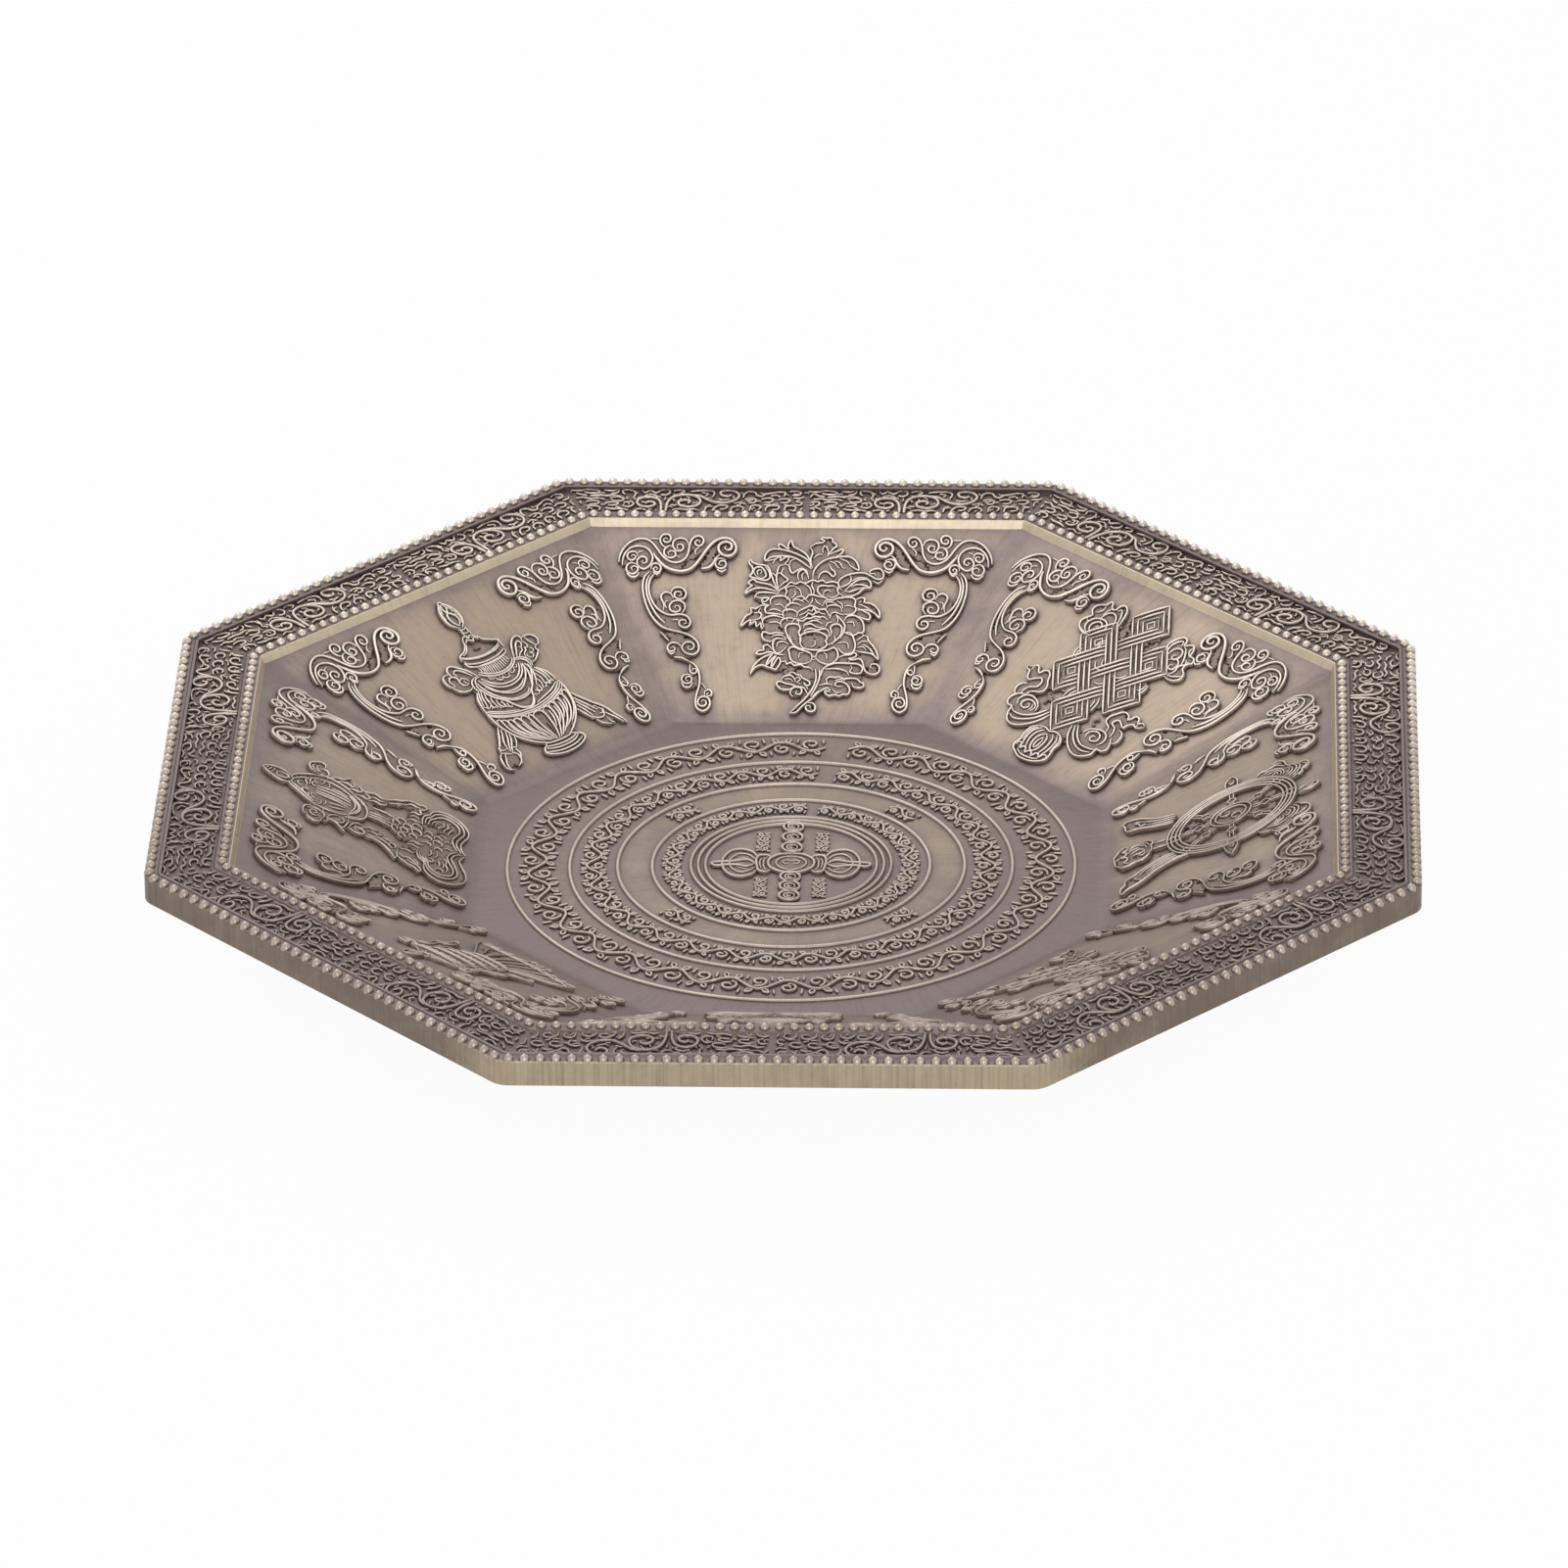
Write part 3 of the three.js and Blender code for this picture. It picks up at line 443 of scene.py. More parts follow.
KNOT = """
# upper left blossom
335,300 325,230 305,175 270,147 240,160 232,195 210,205 192,190 178,160 160,165 150,195 120,205 92,235
  100,270 125,290 105,320 88,350 100,385 130,410 175,425 205,415
318,290 305,240 285,200 262,180 248,200
300,305 285,255 255,228 222,228 195,255 188,290 200,305
210,190 190,225 180,260
150,195 160,230 135,262 118,262
180,415 145,385 135,345 155,310 195,292 240,295 268,320 272,350
205,405 175,380 170,345 195,318 228,318 240,345 220,365 205,350 218,338
105,320 130,345
120,395 150,410 190,425
# upper right blossom
735,300 722,255 745,200 785,172 815,190 822,225 850,205 880,198 905,235 912,270 950,275 962,308 935,330
  940,370 968,390 980,430 950,462 905,468 868,458
752,305 745,260 765,215 795,198 805,235
770,320 780,275 815,252 848,265 860,300 840,335 815,330 812,305 830,300
820,225 850,240 880,280 900,320 905,360
880,205 885,250 915,280
800,350 830,330 870,330 890,360 880,400 850,400 840,375 860,365
905,300 930,335 900,360 905,400 880,440
880,445 920,440 960,420 975,400
940,310 915,320
# flame and swirl, lower left
28,765 50,772 75,755 100,748 120,775 142,792 152,765 185,752 215,775 232,812 258,845 265,880 245,905
  210,915 185,930 180,955
30,775 45,795 70,800 85,835 115,858 145,835 185,815 207,845 200,880 160,902 140,935 148,970
75,755 72,790
130,885 100,893 84,930 95,965 125,988
180,955 140,965 110,1000 108,1040 135,1065 165,1062 175,1110 215,1160 275,1168 340,1135 400,1072
  432,1000
180,1035 162,1000 185,960 230,948 280,962 312,990 322,1028
165,1062 200,1088 275,1085 345,1045 385,985
185,1110 240,1130 310,1105 370,1060 412,990
290,1040 305,1010 285,985 250,975 215,985 202,1010 215,1035 245,1040 262,1020 255,1000 235,1000
270,990 285,1015 275,1040
150,890 170,890 190,880
# flame and swirl, lower right
1030,812 1005,800 985,820 965,785 935,780 920,805 905,825 895,800 860,785 830,795 805,825 785,850
  785,885 805,905 835,920 840,960
1035,820 1010,840 990,850 965,835 930,860 920,885 895,870 860,850 840,865 835,890 870,905 890,940
  890,975
985,820 985,850
905,905 945,920 965,960 955,1000 925,1010
905,975 935,1020 945,1060 920,1085 885,1085 880,1130 835,1170 770,1178 700,1140 645,1080 612,1005
860,1060 885,1020 870,980 830,960 780,965 735,985 715,1015
885,1085 845,1100 770,1100 700,1055 650,990
860,1120 800,1135 735,1115 675,1065 632,1000
755,1045 745,1015 765,990 800,980 835,995 845,1025 830,1045 800,1050 785,1030 795,1010 815,1015
# lotus bud
420,1105 395,1125 385,1180 395,1240 383,1270 400,1305 430,1322 470,1342 512,1345 555,1342 600,1328
  640,1300 652,1262 640,1200 648,1155 622,1118 585,1100 550,1098 520,1110 485,1098 450,1098 420,1105
516,1130 482,1165 478,1215 500,1265 520,1275 542,1255 552,1205 545,1160 516,1130
516,1160 500,1190 505,1235 518,1250 528,1230 530,1190 516,1160
480,1110 450,1150 445,1210 465,1270
455,1105 420,1150 420,1220 440,1280
430,1110 402,1150 405,1230
552,1115 580,1150 588,1210 570,1270
580,1108 612,1150 615,1220 595,1280
605,1115 632,1150 630,1230
390,1275 405,1250 430,1260 440,1290 455,1270 480,1275 492,1305 510,1280 535,1285 545,1310 560,1280
  585,1275 598,1300 610,1265 632,1260 645,1280
430,1300 470,1320 512,1325 555,1320 600,1305
# ribbon arcs behind the lattice
225,500 222,550 240,605
245,520 242,560 258,590
310,470 320,430 340,410
330,480 335,440 350,425
395,560 430,600 470,600
430,530 450,565 480,570
480,520 495,545
580,600 620,600 650,560
500,690 540,690 565,665
830,560 835,600 820,640
790,620 815,600 818,560
400,860 405,810 425,770
430,860 432,820 450,790
640,870 640,810 620,770
615,850 612,810 600,790
700,500 735,470 750,440
"""

VASE = """
# flame finial
512,35 488,70 465,110 455,160 458,205 480,235 505,258
512,35 540,75 560,110 570,155 565,200 548,235 520,262
512,60 498,95 505,125 530,150 545,180 538,215 515,240
520,60 530,90 515,120 492,150 488,190 500,220 515,240
505,60 485,95 480,130
495,85 470,125 470,150
480,110 462,150 466,180
472,145 462,185 470,205
530,85 548,110 550,135
545,110 560,140 556,165
552,150 565,175 556,200
545,195 556,210 540,228
490,262 505,275 530,272 545,258
492,290 510,305 532,302 542,285
500,265 496,290 494,320
538,265 538,290 545,318
# petals under the finial
455,350 470,325 492,322 500,345 515,330 535,328 548,345 560,360
462,372 480,350 500,360 512,378 525,355 545,352 556,372
480,345 492,338 505,350
520,345 533,338 545,350
# lid
455,350 440,385 400,420 355,438 352,470
560,350 580,385 620,410 658,428 660,465 662,490
355,440 380,462 430,480 500,488 570,480 630,460 655,440
362,455 400,478 460,492 520,494 590,486 650,462
380,440 410,430 440,400 455,375
350,490 390,515 450,530 520,532 590,522 655,495
362,480 352,495 356,520 385,540 440,552 510,556 580,548 640,528 655,505
400,540 450,548 520,550 600,535
# neck
405,545 408,575 405,600
420,545 424,580 420,605
432,545 436,580 433,612
446,545 450,580 446,616
460,548 465,580 460,620
476,548 480,585 476,622
492,548 496,585 492,625
508,548 512,585 510,625
525,548 528,585 528,622
545,545 545,580 546,618
562,542 562,578 565,612
578,538 580,570 584,605
596,532 598,560 604,595
612,528 615,550 622,580
385,580 420,610 470,632 530,638 590,625 630,600 650,578
370,590 410,625 465,648 535,652 600,636 645,605 662,580
# collar beads and petals
415,635 420,655 435,662 450,650
428,640 436,648
452,655 462,680 485,690 500,672 512,655
500,672 520,690 545,682 552,660
478,660 490,672
530,655 522,670
560,655 575,672 600,662 605,640
575,650 588,655
612,640 628,650 640,630
# draped swags
365,625 390,670 430,705 480,722 540,722 590,705 635,665 658,625
358,640 380,690 425,728 480,745 540,742 600,720 645,680 670,635
340,630 355,690 395,750 450,790 510,800 565,785 625,735 665,680 680,640
348,690 385,745 440,775 505,783 560,770 610,735
318,640 325,705 360,770 410,825 460,852 520,857 575,840 600,815
400,800 440,835 500,845 560,835 595,805
300,660 310,720 345,780 395,830 420,870 455,915 500,935 535,925 565,890 590,835 625,800 670,740 700,690
  705,655
430,880 470,918 510,928 545,905 575,865
690,645 700,690 680,760 650,810
668,640 672,690 650,750 620,800
# shoulder lappets
365,600 330,605 295,625 280,655 285,690 305,705
375,610 335,615 310,640 305,675
650,590 690,595 722,615 738,645 728,680
655,600 690,608 712,630 720,660 712,690
# upper body, leaves between the swag and the band
275,700 240,750 225,810 222,850
285,700 258,750 240,810
300,705 275,750 265,800 255,835
310,725 292,770 290,820 275,845
330,760 312,800 320,840 305,855
350,790 335,825 345,860 365,865 372,840 360,820
372,815 365,850 380,875
395,840 385,865 400,885 412,868
240,810 262,835 280,820 295,845 315,835 335,862
735,700 765,740 785,790 792,830
725,695 750,745 762,800 765,830
710,705 735,760 738,815 722,838
700,730 712,780 705,825
680,765 688,810 675,845
655,810 662,845 645,862 630,845 640,822
615,835 632,862 615,875 598,860
590,860 600,880
765,830 745,815 735,840 712,822 700,848 680,842
# band
225,845 265,880 330,910 410,930 500,942 560,938 640,922 710,900 760,870 790,840
222,862 262,898 330,928 410,948 500,957 570,953 650,935 720,910 770,882 792,855
225,880 270,915 340,942 420,962 500,970 570,966 650,950 720,925 775,898 793,875
240,845 300,885 380,910 430,918
560,922 640,900 710,878 775,842
# bowl outline
222,850 220,920 232,990 262,1060 310,1120 365,1170 430,1200
795,835 797,900 785,970 755,1050 705,1115 640,1170 590,1198
# gadroons
235,960 240,930 258,930 262,960 270,1020 310,1090 365,1140 420,1175
262,960 275,940 292,950 298,985 315,1050 360,1115 420,1165 455,1190
298,985 308,955 328,962 335,1000 355,1070 400,1130 460,1185
335,1000 345,965 370,970 382,1000 395,1070 435,1135 475,1190
382,1000 398,968 425,975 435,1010 445,1080 470,1145 490,1195
435,1010 448,975 465,985 470,1020 475,1090 490,1150 502,1200
470,1010 480,985 505,975 535,980 550,1005 548,1070 535,1140 515,1200
550,1005 565,975 590,970 608,990 602,1060 570,1130 530,1195
608,990 620,962 645,958 655,985 645,1050 605,1120 545,1190
655,985 668,950 690,945 702,970 690,1040 645,1110 570,1175
702,970 712,935 735,928 745,960 730,1030 680,1100 610,1150
745,960 755,920 775,912 785,940 768,1010 725,1075 665,1130
290,980 300,1040 335,1095
330,1000 345,1060 385,1120
372,1010 382,1070 415,1130
425,1020 430,1080 455,1145
590,1000 580,1060 555,1120
640,985 630,1050 595,1105
688,975 675,1035 640,1085
730,965 712,1025 680,1070
# foot
400,1192 430,1205 500,1212 570,1208 610,1195
385,1215 440,1232 510,1238 580,1232 635,1212
372,1225 430,1250 510,1258 590,1248 640,1220
410,1195 392,1215 372,1225 358,1255 385,1280 440,1300 510,1306 590,1296 645,1272 665,1250 650,1222
  625,1212 605,1195
362,1250 430,1275 510,1282 590,1272 655,1245
# left ribbon loops
360,600 335,555 300,515 265,480 238,472 215,485 205,515 215,540
335,590 310,555 278,520 250,510 235,525 245,550
205,515 170,515 145,535 140,575 160,610 185,605
185,605 170,570 185,545 212,545 230,565 225,600 240,625
160,610 180,650 215,670 255,670 275,655
230,590 250,575 275,585 290,610
225,600 238,625 262,630 280,620
262,590 258,610 270,620
# right ribbon loops
665,580 685,535 715,490 750,460 785,455 800,475 790,500
680,590 705,550 735,505 765,490 775,510 755,535 740,525
800,480 825,475 855,478 880,495 890,525 875,555 850,562
825,480 825,510 840,540 850,562
755,535 745,560 720,570 700,590
790,500 800,530 790,555 770,550 765,570 740,585 735,610
850,562 830,580 835,600 815,620 790,640 765,655 742,655
800,560 815,575 800,595 780,590
775,590 790,610 770,630 750,620
760,590 745,605 755,625
# left streamer
215,970 190,1005 150,1065 115,1110 105,1140
222,990 200,1030 170,1080 160,1140
235,1015 215,1060 185,1110 165,1155
245,1040 228,1080 195,1125 172,1165
262,1070 245,1110 220,1140
105,1140 125,1150 150,1170 172,1165
110,1100 125,1130 155,1125
105,1140 80,1160 62,1200 58,1240 75,1265
125,1150 105,1180 80,1225 78,1262 100,1275
172,1165 190,1185 188,1225 165,1250 140,1262
220,1140 205,1155 212,1185 195,1215 170,1258
180,1130 205,1135 220,1140
# right streamer
800,945 830,1000 870,1060 910,1110 930,1150 945,1200 970,1250 975,1280
790,985 815,1035 845,1085 865,1120
785,1010 805,1060 830,1110 845,1135
775,1040 790,1080 805,1120 815,1150
755,1060 770,1100 790,1140 805,1170
865,1120 885,1115 895,1135 880,1160 860,1150
850,1100 870,1090 880,1110
805,1150 825,1175 850,1185 875,1180 898,1150 905,1130
815,1180 830,1215 860,1240 885,1250
898,1160 920,1200 945,1240 960,1270
885,1200 890,1235 905,1250
"""

WHEEL = """
# leaf finial
478,100 490,75 515,60 535,80 550,120 548,185
478,100 500,92 518,105 510,135 488,140 480,120
488,140 495,165 500,190
525,110 530,145 522,180
# side leaves
20,605 55,580 95,568 140,572
20,605 50,630 95,645 140,642
55,605 80,590 105,597 110,612 85,622 60,612
815,572 865,568 910,582 950,605
815,655 865,648 915,630 950,605
815,600 845,590 870,600 860,615 835,618
# left blossom
180,185 180,155 205,128 240,122 268,140 272,165 300,160 318,180 315,205 338,215
195,165 215,140 240,140 250,160
170,205 200,180 240,175 280,195 300,225
160,235 190,205 235,195 268,215 285,245
180,260 200,230 235,222 260,240 262,265
195,250 215,240 235,252 230,272
170,235 150,260 100,275 75,300 62,330 75,355
100,290 85,320 92,345
150,270 125,300 105,330 115,370 125,400
240,285 215,275 180,290 155,320 145,360 150,400
235,300 205,292 180,315 168,350 172,385
222,318 202,312 192,335 205,350
118,380 112,410 130,440 150,440
# right blossom
655,215 665,190 700,165 715,140 740,120 775,115 805,125 825,155 830,200 850,225
730,150 755,135 780,150 795,185 790,215
665,225 700,195 745,185 785,205 805,240
675,245 710,215 745,210 775,230 785,255
690,265 715,240 745,240 760,260 745,275
705,270 722,258 735,265
850,225 885,245 905,275 905,315 885,345 858,365
860,260 880,285 875,320 850,340
735,290 770,280 800,305 810,345 800,380
740,310 765,300 785,325 788,355
745,325 762,322 770,340
800,270 825,300 830,340 815,385
858,365 862,395 840,430 810,440
# left streamer
185,960 175,1020 150,1080 115,1130 75,1180 50,1235 42,1275
205,960 200,1020 175,1085 140,1140 105,1180
225,965 222,1025 200,1090 165,1150
248,970 245,1030 222,1095 190,1150
* 272,975 270,1030 248,1090 215,1150 190,1200 175,1250 150,1275
105,1180 95,1205 115,1215 130,1190 165,1180 150,1150
* 42,1275 75,1292 105,1278 150,1275
# right streamer
645,965 650,1020 670,1090 700,1150 735,1205 750,1260
665,960 672,1020 692,1090 725,1150 755,1190
690,950 695,1010 715,1080 750,1145
712,930 715,1000 740,1075 780,1140
* 738,860 742,940 755,1010 785,1080 830,1140 862,1200 880,1260 905,1295
755,1190 770,1215 795,1205 800,1180 830,1180
* 750,1260 790,1275 820,1270 850,1300 900,1300
# stem and bud
445,1020 448,1060 440,1085
* 515,1015 515,1060 505,1100
370,1160 375,1135 400,1110 430,1100 455,1115 480,1105 515,1120
* 515,1120 560,1130 588,1165 585,1215 595,1260 580,1305 545,1310
385,1165 405,1135 430,1125
400,1185 420,1150 450,1140
470,1150 445,1175 440,1210 460,1240
480,1160 500,1150 525,1165 505,1190 490,1180
470,1150 488,1185 482,1230
385,1180 380,1220 400,1255
410,1190 412,1230 430,1260
345,1280 365,1255 395,1270 405,1295 425,1265 455,1275 462,1305 480,1265 515,1262 530,1285 550,1250
345,1280 365,1310 400,1325 430,1345 480,1340 530,1335 548,1310
455,1310 462,1335
"""

PARASOL = """
# leaf finial
585,52 550,75 522,115 508,160 510,195 525,215
585,52 612,80 628,120 634,160 625,200 605,228
525,215 550,235 585,240 605,228
570,85 590,100 615,108
560,105 585,120 620,128
575,70 595,80 608,85
545,150 560,140 590,145 605,160
545,150 550,190 570,215 595,200 605,160
# dome of the canopy
525,215 490,250 455,290 425,330 398,375 385,400
540,235 505,270 475,310 450,345
605,228 640,250 670,285 695,315 720,350 740,385
585,240 620,275 645,305 672,340
480,345 478,320 500,300 525,312 520,335 545,330 565,320
565,320 590,330 615,315 640,320 645,345
540,300 560,270 585,275 600,300
430,390 425,370 445,358 465,368 460,385
475,385 480,362 505,358 512,375 498,392
612,390 605,365 630,355 650,368 642,390
660,390 668,368 690,372 695,392
430,372 455,345 520,345
600,345 660,345 700,375
# canopy stripes
535,380 530,440 528,520 520,590
560,385 556,450 552,530 545,600
590,385 590,450 588,530 580,602
612,390 622,450 622,530 605,600
400,400 385,430 385,480 395,530 410,565
430,440 460,455 490,448
410,410 440,425 475,425
650,410 680,430 715,425
640,450 670,465 700,455
740,385 760,430 758,480 745,530 725,570 700,610
700,400 712,450 705,510 685,560 660,600
440,480 450,530 470,570
480,470 488,530 500,580
655,480 650,530 635,580
# valance arcs
410,565 440,600 485,640 530,658 580,655 630,630 670,600
470,600 510,622 560,630 610,618 650,590
455,590 480,620 520,645 570,648 625,625 665,590
400,575 402,620 425,665 470,695 520,705 575,702 625,680 665,640 690,610
420,590 425,630 450,668
600,695 640,660
# curls at the left of the canopy
262,440 225,435 200,410 200,380 220,355 250,350
250,350 255,330 290,322 330,335 355,365 360,400
285,420 262,400 265,375 290,365 315,378 318,400 300,410 288,395 298,385
320,345 345,390 340,430 318,450
262,440 290,455 318,450 360,440 380,450
240,460 265,480 285,470 290,500 275,530 245,560 218,590
285,470 320,480 350,500 375,540
300,500 290,540 310,570 345,575 370,560
320,520 318,545 340,555
245,560 270,580 300,590 340,600 385,600
288,605 270,640 268,685 290,705 320,690 325,655 310,640 298,655 308,672
300,610 340,625 370,650 385,690
340,640 330,670 345,695 370,690
290,705 275,730 280,770 262,815 225,855 180,895 162,905
310,715 300,750 310,790 295,840 265,880
330,720 350,745 340,780 355,810 385,815
360,700 385,730 380,765 400,790
320,800 340,830 330,860 350,885
262,880 285,860 312,868 310,895 285,900 272,885
162,905 200,915 240,910 275,920
# curls at the right of the canopy
770,370 790,340 825,325 860,335 885,365 905,400 890,425 855,420
790,390 805,355 835,345 855,362
800,400 820,375 845,372 862,388
770,400 760,430 790,450 825,440 840,415 825,395
745,440 775,470 800,500 810,540 840,560 868,585
760,500 780,530 785,570 770,600 800,610 825,600
730,570 750,600 745,640 765,660 800,650 815,640
700,620 715,655 700,690 720,710 750,700 770,675
790,650 785,700 800,740 785,780 800,820
740,710 760,740 745,775 765,800
690,700 715,740 705,780 725,810 755,815
800,820 830,860 850,900 885,940 905,985
770,830 790,870 815,900 830,930
800,870 790,890 808,905 825,890
# shaft
522,712 520,780 510,855
545,715 545,780 540,850
570,715 572,780 570,840
640,740 636,810 628,870
# flower head on the foot
470,900 490,870 520,860 540,880 520,900 500,890
540,850 560,870 590,862 605,885 585,910 560,895
430,930 455,905 480,915 475,945 450,950
600,900 630,890 650,915 635,945 610,935
500,930 525,915 550,925 545,955 515,960 500,930
560,940 585,930 610,950 595,980 565,975 560,940
470,985 500,970 520,990 505,1020 475,1015
530,1000 560,985 590,1000 585,1035 550,1045 528,1025
600,1000 630,985 655,1005 645,1040 615,1045
540,1060 570,1075 560,1110 530,1100
590,1060 620,1070 625,1105 595,1110
480,1050 500,1075 490,1110 465,1100
515,1125 545,1120 560,1150 540,1180 515,1165
575,1125 605,1125 615,1155 590,1175
450,1130 480,1140 485,1170 460,1180
505,1190 525,1210 520,1240
575,1190 600,1200 605,1230
630,1150 650,1170 640,1200
420,980 445,1000 435,1040 455,1070
660,950 690,970 685,1010 700,1040
385,960 400,1000 395,1040
# tails above the swirls
215,915 180,935 155,980 150,1020 120,1055 145,1065 180,1040 190,1000 215,975
240,920 220,950 230,985 205,1020 195,1045 225,1040 250,1010
300,930 315,970 305,1005 330,1020
760,960 785,985 775,1015 800,1030 830,1015 850,1040 880,1060 905,1070
720,960 745,990 740,1020
905,985 895,1010 905,1040 890,1060
830,930 860,960 855,1000 870,1030
# great swirls of the foot
380,1035 330,1030 280,1045 250,1080 200,1080 150,1095 112,1145 105,1205 130,1265 180,1315 240,1340
  310,1335 370,1310 430,1290 480,1305 520,1325
360,1050 310,1050 265,1085 215,1095 175,1120 155,1170 165,1220 200,1262 250,1285 310,1280 365,1260
  420,1240 480,1260 520,1298
345,1068 305,1070 270,1100 225,1110 195,1140 185,1180 200,1225 240,1255 300,1258 350,1235 410,1215
  470,1230 530,1270
330,1085 300,1095 290,1120 310,1135 335,1120 325,1102
210,1150 240,1155 255,1180 240,1200 215,1195
265,1165 300,1175 340,1165 375,1180
240,1215 280,1225 320,1210 360,1215 395,1195
270,1195 305,1200 345,1190
350,1100 390,1120 420,1110 440,1130
360,1140 400,1155 435,1150
690,1045 740,1040 790,1050 825,1080 870,1095 905,1130 922,1185 910,1240 870,1290 810,1325 745,1325
  690,1305 640,1290 590,1290 555,1305 530,1325
715,1060 765,1062 805,1090 850,1110 885,1150 892,1200 870,1255 825,1290 760,1300 700,1280 645,1262
  590,1265 540,1298
720,1080 765,1085 800,1110 835,1135 860,1175 855,1220 820,1260 765,1272 705,1252 650,1235 600,1240
  545,1270
730,1100 760,1108 785,1128 800,1155
735,1120 765,1130 780,1150
700,1140 735,1150 760,1175 800,1165
690,1175 725,1180 760,1200 800,1195 830,1215
680,1205 720,1210 760,1230 800,1225
"""

BANNER = """
= 531,30 500,75 490,130 505,180 531,205
531,70 515,110 520,150 531,165 542,150 547,110 531,70
505,195 490,215 500,235 531,245 562,235 572,215 557,195
= 490,225 450,250 400,285 350,310
= 520,250 480,290 460,330
500,270 531,290 562,270
# canopy brim
335,320 400,350 465,362 531,366 597,362 662,350 727,320
330,350 400,380 465,392 531,396 597,392 662,380 732,350
= 350,310 328,325 326,350 340,372
340,372 360,405 385,388 405,412 430,396 452,420 478,402 504,424 531,405 558,424 584,402 610,420 632,396
  657,412 677,388 702,405 722,372
# tiers of cloth
= 375,412 372,450 378,490
365,495 420,512 475,520 531,522 587,520 642,512 697,495
362,515 420,532 475,540 531,542 587,540 642,532 700,515
= 365,495 350,530 362,560 378,600
= 385,540 392,580 402,540
= 430,548 436,590 446,550
= 480,555 485,598 494,555
531,558 531,600
370,605 425,622 478,630 531,632 584,630 637,622 692,605
367,625 425,642 478,650 531,652 584,650 637,642 695,625
= 370,605 355,640 366,670 382,708
= 390,652 397,690 407,652
= 435,660 441,700 451,662
= 483,666 488,706 497,666
531,668 531,710
376,715 428,732 480,740 531,742 582,740 634,732 686,715
373,735 428,752 480,760 531,762 582,760 634,752 689,735
= 376,715 360,750 372,780 388,815
= 396,762 402,800 412,764
= 440,770 446,810 455,772
= 486,776 490,815 499,776
531,778 531,818
385,820 435,836 483,843 531,845 579,843 627,836 677,820
383,838 435,855 483,862 531,864 579,862 627,855 679,838
# flared skirt
= 385,830 350,880 300,940 250,1000 200,1060 165,1120 160,1170
= 410,860 380,920 335,990 290,1060 262,1130
= 440,870 420,940 395,1020 375,1100 365,1165
= 485,875 478,950 468,1040 462,1120 460,1180
531,875 531,960 531,1060 531,1180
160,1170 185,1205 225,1180 262,1215 305,1180 350,1220 400,1190 450,1228 500,1195 531,1225 562,1195
  612,1228 662,1190 712,1220 757,1180 800,1215 837,1180 877,1205 902,1170
175,1140 230,1150 300,1152 380,1165 460,1175 531,1178 602,1175 682,1165 762,1152 832,1150 887,1140
= 450,1228 440,1270 460,1305 500,1290 495,1250
531,1225 515,1270 531,1320 547,1270 531,1225
# ribbons at the sides
= 340,372 300,380 262,360 245,320 262,285 300,285 318,315 300,340 280,322 292,305
= 300,380 285,430 300,480 285,540 262,580 245,640 262,700 250,760 220,820
= 318,385 305,430 322,480 310,545 290,590 272,645 290,700 280,765 250,830
= 220,820 200,850 225,868 250,830
"""

FISH_SPINES = """
640,170 650,260 655,360 640,460 600,560 545,660 480,760 415,860 350,960 290,1060 245,1140
420,170 402,260 395,360 408,460 450,560 510,660 575,760 640,860 705,960 765,1060 812,1140
"""

FISH = """
735,330 790,360 815,420 800,480 745,470
740,360 778,390 785,440 750,450
318,330 265,360 238,420 255,480 310,470
313,360 275,390 268,440 303,450
690,520 740,540 770,600 745,650 690,630 650,600
362,520 315,540 285,600 308,650 365,630 405,600
330,900 270,880 215,900 190,960 235,985 295,975
725,900 785,880 840,900 865,960 820,985 760,975
225,1125 180,1160 140,1220 120,1290 165,1270 205,1285 235,1245 275,1275 320,1245 310,1190 275,1150
232,1150 200,1190 165,1245
248,1160 240,1200 215,1255
262,1160 280,1205 290,1250
832,1125 877,1160 917,1220 937,1290 892,1270 852,1285 822,1245 782,1275 737,1245 747,1190 782,1150
825,1150 857,1190 892,1245
809,1160 817,1200 842,1255
795,1160 777,1205 767,1250
# ribbon and leaf between the two
528,60 500,100 495,150 528,195 561,150 556,100 528,60
528,95 515,130 528,160 541,130 528,95
528,195 500,230 505,270 528,290 551,270 556,230 528,195
528,820 490,880 470,950 490,1010 528,1040 566,1010 586,950 566,880 528,820
528,860 505,910 500,960 528,1000 556,960 551,910 528,860
528,1040 480,1080 440,1140 450,1190 490,1190 505,1150
528,1040 576,1080 616,1140 606,1190 566,1190 551,1150
528,1060 518,1120 528,1180 538,1120 528,1060
"""

